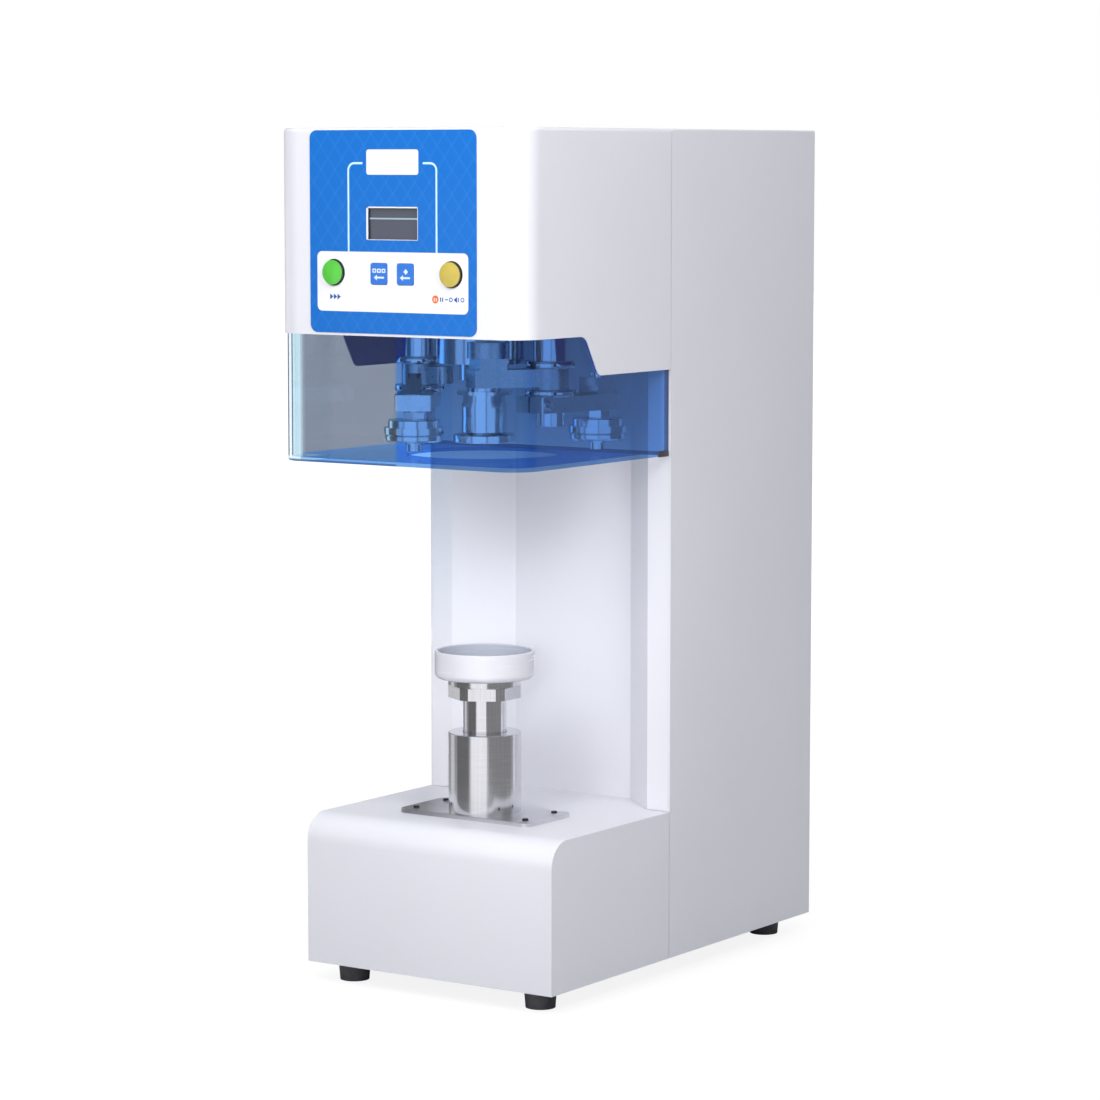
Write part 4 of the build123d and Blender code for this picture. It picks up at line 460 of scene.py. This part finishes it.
# Lifting gear inside the base: cam, roller, shaft and pin of ground steel. The gear motor is cast
# aluminium under black enamel, like the spindle's motor and the arms' gear motors.
tool_steel = turned("ground_steel", (0.80, 0.80, 0.82), rough=0.15, marks=0.3)
dress(tool_steel, "lift_cam", "lift_cam_shaft", "lift_roller", "lift_roller_pin", "cup_bearing")
enamel = Finish("black_enamel", Coat_Weight=0.3, Coat_Roughness=0.1)
pores = enamel.noise(scale=420.0, detail=3.0)
enamel.feed(
    "Base Color", enamel.ramp(pores, [(0.3, (0.018, 0.018, 0.020)), (0.8, (0.035, 0.035, 0.038))])
)
enamel.roughen(pores, least=0.35, swing=0.2)
enamel.bump(pores, distance=0.00006, strength=0.5)
dress(enamel, "lift_gearmotor", "spindle_motor", "arm_gearmotors")

# Seaming gear under the head plate: nickel-plated housings, and a spindle, chuck, arms, levers and
# rollers of ground and turned tool steel. Collars with black set screws close the arms' shafts.
nickel = turned("nickel_housing", (0.76, 0.76, 0.78), rough=0.15, marks=0.3)
dress(nickel, "spindle_housing", "pivot_housings", edge=0.0005)
dress(
    tool_steel,
    "chuck", "spindle", "spindle_bearings", "motor_shaft",
    "first_arm_shaft", "second_arm_shaft", "first_roller", "second_roller",
    "first_clamp_screw", "second_clamp_screw", "second_roller_pin", edge=0.0003,
)
pin_steel = Finish("blackened_pin", Metallic=1.0)
black_start, black_blur = 0.4814, 0.0002
_, _, pin_z = pin_steel.axes()
blackened = pin_z.past(black_start, black_blur)
mottle = pin_steel.noise(scale=300.0, detail=3.0)
pin_steel.feed(
    "Base Color", pin_steel.blend(blackened, (0.78, 0.78, 0.80), (0.085, 0.088, 0.095))
)
pin_steel.roughen(mottle, least=0.16, swing=0.12)
dress(pin_steel, "first_roller_pin", edge=0.0003)
ground = brushed("ground_bar", (0.4, 0.4, 0.4), 0.32, (0.82, 0.82, 0.84))
dress(ground, "first_arm", "second_arm", edge=0.0005)
# Painted shade: the levers take a darker steel than the arms, standing for the shade they are in.
shaded_bar = brushed("painted_shade_bar", (0.4, 0.4, 0.4), 0.30, (0.52, 0.53, 0.56))
dress(shaded_bar, "first_lever", "second_lever", edge=0.0005)


def collar(name, outline, centre, body):
    """A turned ring: closed pairs of radius and height, spun about an upright axis."""
    segments = 72
    shape = bmesh.new()
    rows = []
    for step in range(segments):
        turn = 2 * math.pi * step / segments
        rows.append([
            shape.verts.new((centre[0] + r * math.cos(turn), centre[1] + r * math.sin(turn), z))
            for r, z in outline
        ])
    for row, after in zip(rows, rows[1:] + rows[:1]):
        for k in range(len(outline)):
            shape.faces.new((row[k - 1], after[k - 1], after[k], row[k]))
    bmesh.ops.recalc_face_normals(shape, faces=shape.faces[:])
    for face in shape.faces:
        face.smooth = abs(face.normal.z) < 0.2
    seat(name, shape, nickel, body)


def set_screws(name, centre, radius, z, body):
    """Six small black set screws let into a collar's side."""
    screw_radius, screw_length = 0.0013, 0.0016
    shape = bmesh.new()
    for step in range(6):
        turn = math.pi * (step + 0.25) / 3
        lie = Matrix.Rotation(turn, 4, "Z") @ Matrix.Rotation(math.pi / 2, 4, "Y")
        place = Vector(
            (centre[0] + radius * math.cos(turn), centre[1] + radius * math.sin(turn), z)
        )
        bmesh.ops.create_cone(
            shape, cap_ends=True, segments=20,
            radius1=screw_radius, radius2=screw_radius, depth=screw_length,
            matrix=Matrix.Translation(place) @ lie,
        )
    seat(name, shape, black_screw, body)


bore, chamfer, screw_sink = 0.0137, 0.0004, 0.0006
for side, x, arm_body in (
    ("first", -0.0640, "first_arm_body"), ("second", 0.0640, "second_arm_body")
):
    centre = (x, axis_y)
    for level, radius, foot, top, body in (
        ("upper", 0.0197, 0.5037, 0.5096, "frame_body"),
        ("lower", 0.0204, 0.4813, 0.4864, arm_body),
    ):
        outline = [
            (bore, foot), (radius - chamfer, foot), (radius, foot + chamfer),
            (radius, top - chamfer), (radius - chamfer, top), (bore, top),
        ]
        collar(f"{side}_{level}_ring", outline, centre, body)
        set_screws(
            f"{side}_{level}_set_screws", centre, radius - screw_sink, (foot + top) / 2, body
        )

# Belt drive above the head plate: turned aluminium pulleys with flanges, and a flat belt of
# black rubber with a fine weave.
pulley_metal = turned("turned_aluminium", (0.72, 0.73, 0.74), rough=0.3)
dress(pulley_metal, "spindle_pulley", "motor_pulley")
belt_rubber = Finish("belt_rubber", Base_Color=(0.02, 0.02, 0.02, 1))
weave = belt_rubber.noise(800.0, 2.0, (1.0, 1.0, 0.1))
belt_rubber.roughen(weave, least=0.6, swing=0.2)
dress(belt_rubber, "drive_belt")

# Guard: a tray of blue-tinted clear acrylic, bent and glued from sheet, open at the top and the
# back. Its left front takes a greyer tint, and its cut edges and edge-on walls hold more colour.
guard_finish = Finish("tinted_acrylic", Roughness=0.04, Base_Color=(0.02, 0.08, 0.32, 1))
guard_x, guard_y, guard_z = guard_finish.axes()
front_face, side_face, low_face, half_way = -0.2150, 0.1130, 0.4338, 0.0003
blur, fine_blur = 0.001, 0.0004
front_wall = guard_y.short_of(front_face, blur)
left_wall = guard_x.short_of(-side_face, blur)
right_wall = guard_x.past(side_face, blur)
low_sheet = guard_z.short_of(low_face, fine_blur)
greyed = (guard_x.short_of(-half_way, blur) * front_wall).above(left_wall)
# Painted highlight: near the left front corner the tint is almost clear, so the corner shows a pale
# strip.
bend_x, bend_y, bend_blur_x, bend_blur_y = -0.0935, -0.1865, 0.0008, 0.002
painted_corner_highlight = guard_x.short_of(bend_x, bend_blur_x) * guard_y.short_of(bend_y, bend_blur_y)
rim_top, rim_blur, cut_start = 0.4318, 0.0003, -0.0116
rim = guard_z.short_of(rim_top, rim_blur) * front_wall * guard_x.short_of(half_way, blur)
rear_edge = guard_y.past(cut_start, fine_blur)
edge_on = guard_finish.add("ShaderNodeLayerWeight", {}, {"Blend": 0.5}, "Facing")
deep_start, deep_length = 0.70, 0.06
deep = edge_on.past(deep_start, deep_length) * (1.0 - low_sheet)
tint = (0.425, 0.655, 0.96)
for share, colour in (
    (greyed, (0.709, 0.736, 0.775)),
    (right_wall, (0.365, 0.595, 0.94)),
    (low_sheet, (0.43, 0.64, 0.92)),
    (painted_corner_highlight, (0.905, 0.975, 1.0)),
    (rim, (0.20, 0.30, 0.52)),
    (deep.above(rear_edge), (0.22, 0.27, 0.42)),
):
    tint = guard_finish.blend(share, tint, colour)
clear = guard_finish.add("ShaderNodeBsdfTransparent", {}, {"Color": tint})
veiled = guard_finish.add(
    "ShaderNodeMixShader", {}, {0: 0.03, 1: clear, 2: guard_finish.principled}
)
gloss = guard_finish.add(
    "ShaderNodeBsdfAnisotropic", {}, {"Color": (0.95, 0.97, 1.0, 1), "Roughness": 0.04}
)
sheen_edge, sheen_flat, sheen_power, low_damping = 0.85, 0.006, 3.0, 0.65
sheen = (edge_on ** sheen_power * sheen_edge + sheen_flat) * (1.0 - low_sheet * low_damping)
glazed = guard_finish.add("ShaderNodeMixShader", {}, {0: sheen, 1: veiled, 2: gloss})
# Light on its way to other pieces passes with less colour.
far_face, far_blur = -0.095, 0.003
far_wall = guard_x.short_of(far_face, far_blur)
light_tint = guard_finish.blend(far_wall, (0.97, 0.98, 1.0), (0.70, 0.90, 1.0))
open_air = guard_finish.add("ShaderNodeBsdfTransparent", {}, {"Color": light_tint})
eye_ray = guard_finish.add("ShaderNodeLightPath", {}, {}, "Is Camera Ray")
guard_finish.surface(
    guard_finish.add("ShaderNodeMixShader", {}, {0: eye_ray, 1: open_air, 2: glazed})
)
dress(guard_finish, "guard")


def block(name, low, high, finish, edge):
    """A box-shaped piece between two corners, with broken edges, fixed to the frame."""
    shape = bmesh.new()
    bmesh.ops.create_cube(shape, size=1.0)
    for vertex in shape.verts:
        vertex.co = [(a + b) / 2 + c * (b - a) for a, b, c in zip(low, high, vertex.co)]
    bmesh.ops.bevel(shape, geom=shape.edges[:], offset=edge, segments=2, affect="EDGES")
    seat(name, shape, finish, "frame_body")


clip_front, clip_rear, clip_foot, clip_top = -0.0260, -0.0105, 0.4296, 0.4345
for name, near, away in (
    ("guard_clip_left", -0.1193, -0.1183), ("guard_clip_right", 0.1183, 0.1193)
):
    block(
        name, (near, clip_front, clip_foot), (away, clip_rear, clip_top),
        rubber, 0.0003,
    )

# Control panel: a printed blue film with a fine diamond lattice, a white field round the buttons,
# a pale line round the display, and plain symbols under the buttons.
film = Finish("printed_film", Coat_Weight=0.10, Coat_Roughness=0.12, Specular_IOR_Level=0.3)
film_x, _, film_z = film.axes()
front = (film_x, film_z)
print_edge = 0.00025


def inked(reach):
    """1 inside an outline, 0 outside, from the distance past it."""
    return (0.5 - reach / print_edge).held()


def rounded(at, x, z, width, height, radius):
    """1 inside an upright rounded rectangle, 0 outside; sizes in metres."""
    across = abs(at[0] - x) - (width / 2 - radius)
    along = abs(at[1] - z) - (height / 2 - radius)
    corner = (across.above(0.0) ** 2 + along.above(0.0) ** 2) ** 0.5
    return inked(corner + across.above(along).below(0.0) - radius)


def disc(at, x, z, radius):
    """1 inside a circle."""
    return inked(((at[0] - x) ** 2 + (at[1] - z) ** 2) ** 0.5 - radius)


def ring(at, x, z, radius, hole):
    """1 between two circles."""
    return (disc(at, x, z, radius) - disc(at, x, z, hole)).held()


def wedge(at, x, z, size, way=1.0):
    """1 inside a triangle that points to the right, or to the left where way is -1."""
    slope, tail = 1.4, 0.6
    along = (at[0] - x) * way
    tip = inked(abs(at[1] - z) * slope + along - size)
    return tip * ((along + size * tail) / print_edge + 0.5).held()


def merged(*shapes):
    """1 inside any of the shapes."""
    whole = shapes[0]
    for shape in shapes[1:]:
        whole = whole.above(shape)
    return whole


def hairline(phase, shift, breadth):
    """Fine lines where a phase passes a whole number, moved over by a share of a cell."""
    line_blur = 0.02
    return abs((phase + shift) % 1.0 - 0.5).short_of(breadth, line_blur)


cell_width, cell_height = 0.0140, 0.0186
main_breadth, side_breadth, side_shift, main_ink, side_ink = 0.022, 0.016, 0.13, 0.35, 0.20
rising = film_x / cell_width + film_z / cell_height
falling = film_x / cell_width - film_z / cell_height
main_line = hairline(rising, 0.0, main_breadth).above(hairline(falling, 0.0, main_breadth))
side_line = hairline(rising, side_shift, side_breadth).above(
    hairline(falling, side_shift, side_breadth)
)
# Painted shade: the film's blue gets a little lighter toward its top.
film_foot, film_height = 0.5333, 0.158
shaded_film_blue = film.ramp(
    film_z.past(film_foot, film_height),
    [(0.0, (0.0036, 0.144, 0.545)), (1.0, (0.0055, 0.155, 0.570))],
)
ground_blue = film.blend(main_line * main_ink + side_line * side_ink, shaded_film_blue, (0.10, 0.36, 0.90))
field = rounded(front, -0.0016, 0.57345, 0.1452, 0.0467, 0.0045)
name_plate = rounded(front, -0.00085, 0.66635, 0.0499, 0.0195, 0.0022)

hoop_x, hoop_z, hoop_width, hoop_height, hoop_corner = -0.0011, 0.60, 0.0862, 0.1326, 0.0064
hoop_line, hoop_foot, hoop_foot_blur = 0.0016, 0.5968, 0.0002
gap_x, gap_half, gap_blur = -0.0006, 0.0288, 0.0003
hoop = rounded(front, hoop_x, hoop_z, hoop_width, hoop_height, hoop_corner) - rounded(
    front, hoop_x, hoop_z, hoop_width - 2 * hoop_line, hoop_height - 2 * hoop_line,
    hoop_corner - hoop_line,
)
outside_gap = abs(film_x - gap_x).past(gap_half, gap_blur)
hoop = hoop.held() * outside_gap * film_z.past(hoop_foot, hoop_foot_blur)

label_z, wedge_size = 0.5611, 0.0021
upright, dash, circle = (0.0011, 0.0034, 0.0001), (0.0028, 0.0009, 0.0001), (0.0018, 0.0010)
start_mark = merged(
    *(wedge(front, x, 0.5614, wedge_size) for x in (-0.0606, -0.0570, -0.0534))
)
reset_mark = merged(
    rounded(front, 0.0448, label_z, *upright),
    rounded(front, 0.0468, label_z, *upright),
    rounded(front, 0.0504, label_z, *dash),
    ring(front, 0.0545, label_z, *circle),
    wedge(front, 0.0592, label_z, wedge_size, -1.0),
    rounded(front, 0.0616, label_z, 0.0010, 0.0034, 0.0001),
    ring(front, 0.0655, label_z, *circle),
)
pause_disc = disc(front, 0.0399, label_z, 0.0031)
pause_bars = merged(*(rounded(front, x, 0.5609, 0.0011, 0.0026, 0.0001) for x in (0.0389, 0.0409)))
printed = ground_blue
for share, ink in (
    (hoop, (0.58, 0.86, 0.97)),
    (merged(field, name_plate), (0.86, 0.87, 0.90)),
    (merged(start_mark, reset_mark), (0.012, 0.09, 0.36)),
    (pause_disc, (0.86, 0.14, 0.02)),
    (pause_bars, (0.90, 0.72, 0.62)),
):
    printed = film.blend(share, printed, ink)
film.feed("Base Color", printed)
film.roughen(film.noise(scale=1200.0), least=0.30, swing=0.12)
dress(film, "control_overlay")

# Display: a dark window over the display module, with a lighter row across it. A white moulded
# bezel and a black lining line the opening it is set in; the black lining is painted shade for the
# opening's shaded inner walls. Green boards lie behind.
window = Finish("display_window", Roughness=0.12, Coat_Weight=0.3, Coat_Roughness=0.05)
row_z, row_half, row_blur = 0.6227, 0.00075, 0.0003
window_foot, window_height = 0.606, 0.026
_, _, window_z = window.axes()
row_line = abs(window_z - row_z).short_of(row_half, row_blur)
glass = window.ramp(
    window_z.past(window_foot, window_height),
    [(0.0, (0.070, 0.076, 0.112)), (0.75, (0.064, 0.076, 0.104)), (1.0, (0.060, 0.066, 0.088))],
)
window.feed("Base Color", window.blend(row_line, glass, (0.34, 0.44, 0.55)))
dress(window, "lcd_window")
bezel = Finish("bezel_plastic", Coat_Weight=0.2)
mould = bezel.noise(scale=900.0)
bezel.feed("Base Color", bezel.ramp(mould, [(0.3, (0.76, 0.78, 0.88)), (0.7, (0.80, 0.82, 0.92))]))
bezel.roughen(mould, least=0.35, swing=0.15)
# Painted shade: a black lining with a fine grain in the display's opening, standing for the shade
# on its inner walls.
shade_lining = Finish("painted_shade_lining")
cells = shade_lining.noise(scale=2400.0)
shade_lining.feed(
    "Base Color", shade_lining.ramp(cells, [(0.3, (0.006, 0.006, 0.008)), (0.7, (0.016, 0.017, 0.022))])
)
shade_lining.roughen(cells, least=0.7, swing=0.2)
shade_lining.bump(cells, distance=0.00006, strength=0.6)
left, right, low, high = -0.02605, 0.02345, 0.60605, 0.63195
left_lip, right_lip, top_lip, foot_lip, lip_edge = 0.0018, 0.0004, 0.0011, 0.0005, 0.0001
for name, near, away, finish, slot in (
    ("display_bezel", -0.2233, -0.2229, bezel, "white_paint"),
    ("display_shade_lining", -0.2229, -0.2211, shade_lining, "foot_rubber"),
):
    for part, x_low, x_high, z_low, z_high in (
        ("left", left, left + left_lip, low, high),
        ("right", right - right_lip, right, low, high),
        ("top", left, right, high - top_lip, high),
        ("foot", left, right, low, low + foot_lip),
    ):
        block(
            f"{name}_{part}", (x_low, near, z_low), (x_high, away, z_high),
            finish, lip_edge,
        )
board = Finish("circuit_board", Roughness=0.45)
tracks = board.noise(scale=320.0, detail=1.0)
board.feed(
    "Base Color", board.ramp(tracks, [(0.45, (0.01, 0.10, 0.04)), (0.55, (0.02, 0.18, 0.07))])
)
dress(board, "display_board", "control_board")


# Buttons and keys: moulded gloss plastic, green to start, yellow to pause, blue square keys with
# white symbols. They stand in the film's holes on springs.
def gloss_plastic(name, colour):
    """Injection-moulded plastic with a faint grain and a slight unevenness of colour."""
    finish = Finish(name, Coat_Weight=0.4, Coat_Roughness=0.08)
    flow = finish.noise(scale=120.0, detail=3.0)
    fine = finish.noise(scale=1500.0)
    gain, lift = 1.12, 0.01
    pale = tuple(min(1.0, channel * gain + lift) for channel in colour)
    finish.roughen(fine, least=0.24, swing=0.12)
    finish.bump(fine, distance=0.00001, strength=0.3)
    return finish, finish.ramp(flow, [(0.3, colour), (0.75, pale)])


# Painted shade: each button's side wall, behind its front, is coloured nearly black for the shade
# on it.
side_shade_start, side_shade_blur, side_shade_share, side_shade_lift = -0.22585, 0.00015, 0.05, 0.012
for name, colour, node in (
    ("start_green", (0.085, 0.52, 0.045), "start_button"),
    ("pause_yellow", (0.54, 0.42, 0.07), "pause_button"),
):
    cap, shade = gloss_plastic(name, colour)
    _, cap_y, _ = cap.axes()
    painted_side_shade = cap_y.past(side_shade_start, side_shade_blur)
    shadow = tuple(channel * side_shade_share + side_shade_lift for channel in colour)
    cap.feed("Base Color", cap.blend(painted_side_shade, shade, shadow))
    dress(cap, node)

key_cap, shade = gloss_plastic("key_blue", (0.008, 0.15, 0.60))
key_x, _, key_z = key_cap.axes()
key_front = (key_x, key_z)
digit_z, arrow_z, diamond_x, diamond_z, diamond_size = 0.5823, 0.5770, 0.0121, 0.5818, 0.0022
digit, digit_hole = (0.0036, 0.0032, 0.0006), (0.0018, 0.0014, 0.0003)
arrow_head, arrow_shaft = 0.0019, (0.0068, 0.0014, 0.0003)
digits = merged(*(
    (rounded(key_front, x, digit_z, *digit) - rounded(key_front, x, digit_z, *digit_hole)).held()
    for x in (-0.0181, -0.0137, -0.0093)
))
arrows = merged(*(
    merged(
        wedge(key_front, head_x, arrow_z, arrow_head, -1.0),
        rounded(key_front, shaft_x, arrow_z, *arrow_shaft),
    )
    for head_x, shaft_x in ((-0.0168, -0.0122), (0.0083, 0.0128))
))
diamond = inked(abs(key_x - diamond_x) + abs(key_z - diamond_z) - diamond_size)
symbol_ink = 0.9
symbols = merged(digits, arrows, diamond) * symbol_ink
key_cap.feed("Base Color", key_cap.blend(symbols, shade, (0.78, 0.88, 0.95)))
dress(key_cap, "left_key", "right_key")

# Mains inlet and switch on the back: black moulded plastic with a fine texture, snapped into the
# rear cover.
black_plastic = Finish("black_plastic")
texture = black_plastic.noise(scale=1100.0, detail=3.0)
black_plastic.feed(
    "Base Color",
    black_plastic.ramp(texture, [(0.3, (0.016, 0.016, 0.017)), (0.8, (0.03, 0.03, 0.032))]),
)
black_plastic.roughen(texture, least=0.42, swing=0.2)
black_plastic.bump(texture, distance=0.00005, strength=0.5)
dress(black_plastic, "power_inlet", "power_switch", edge=0.0003)
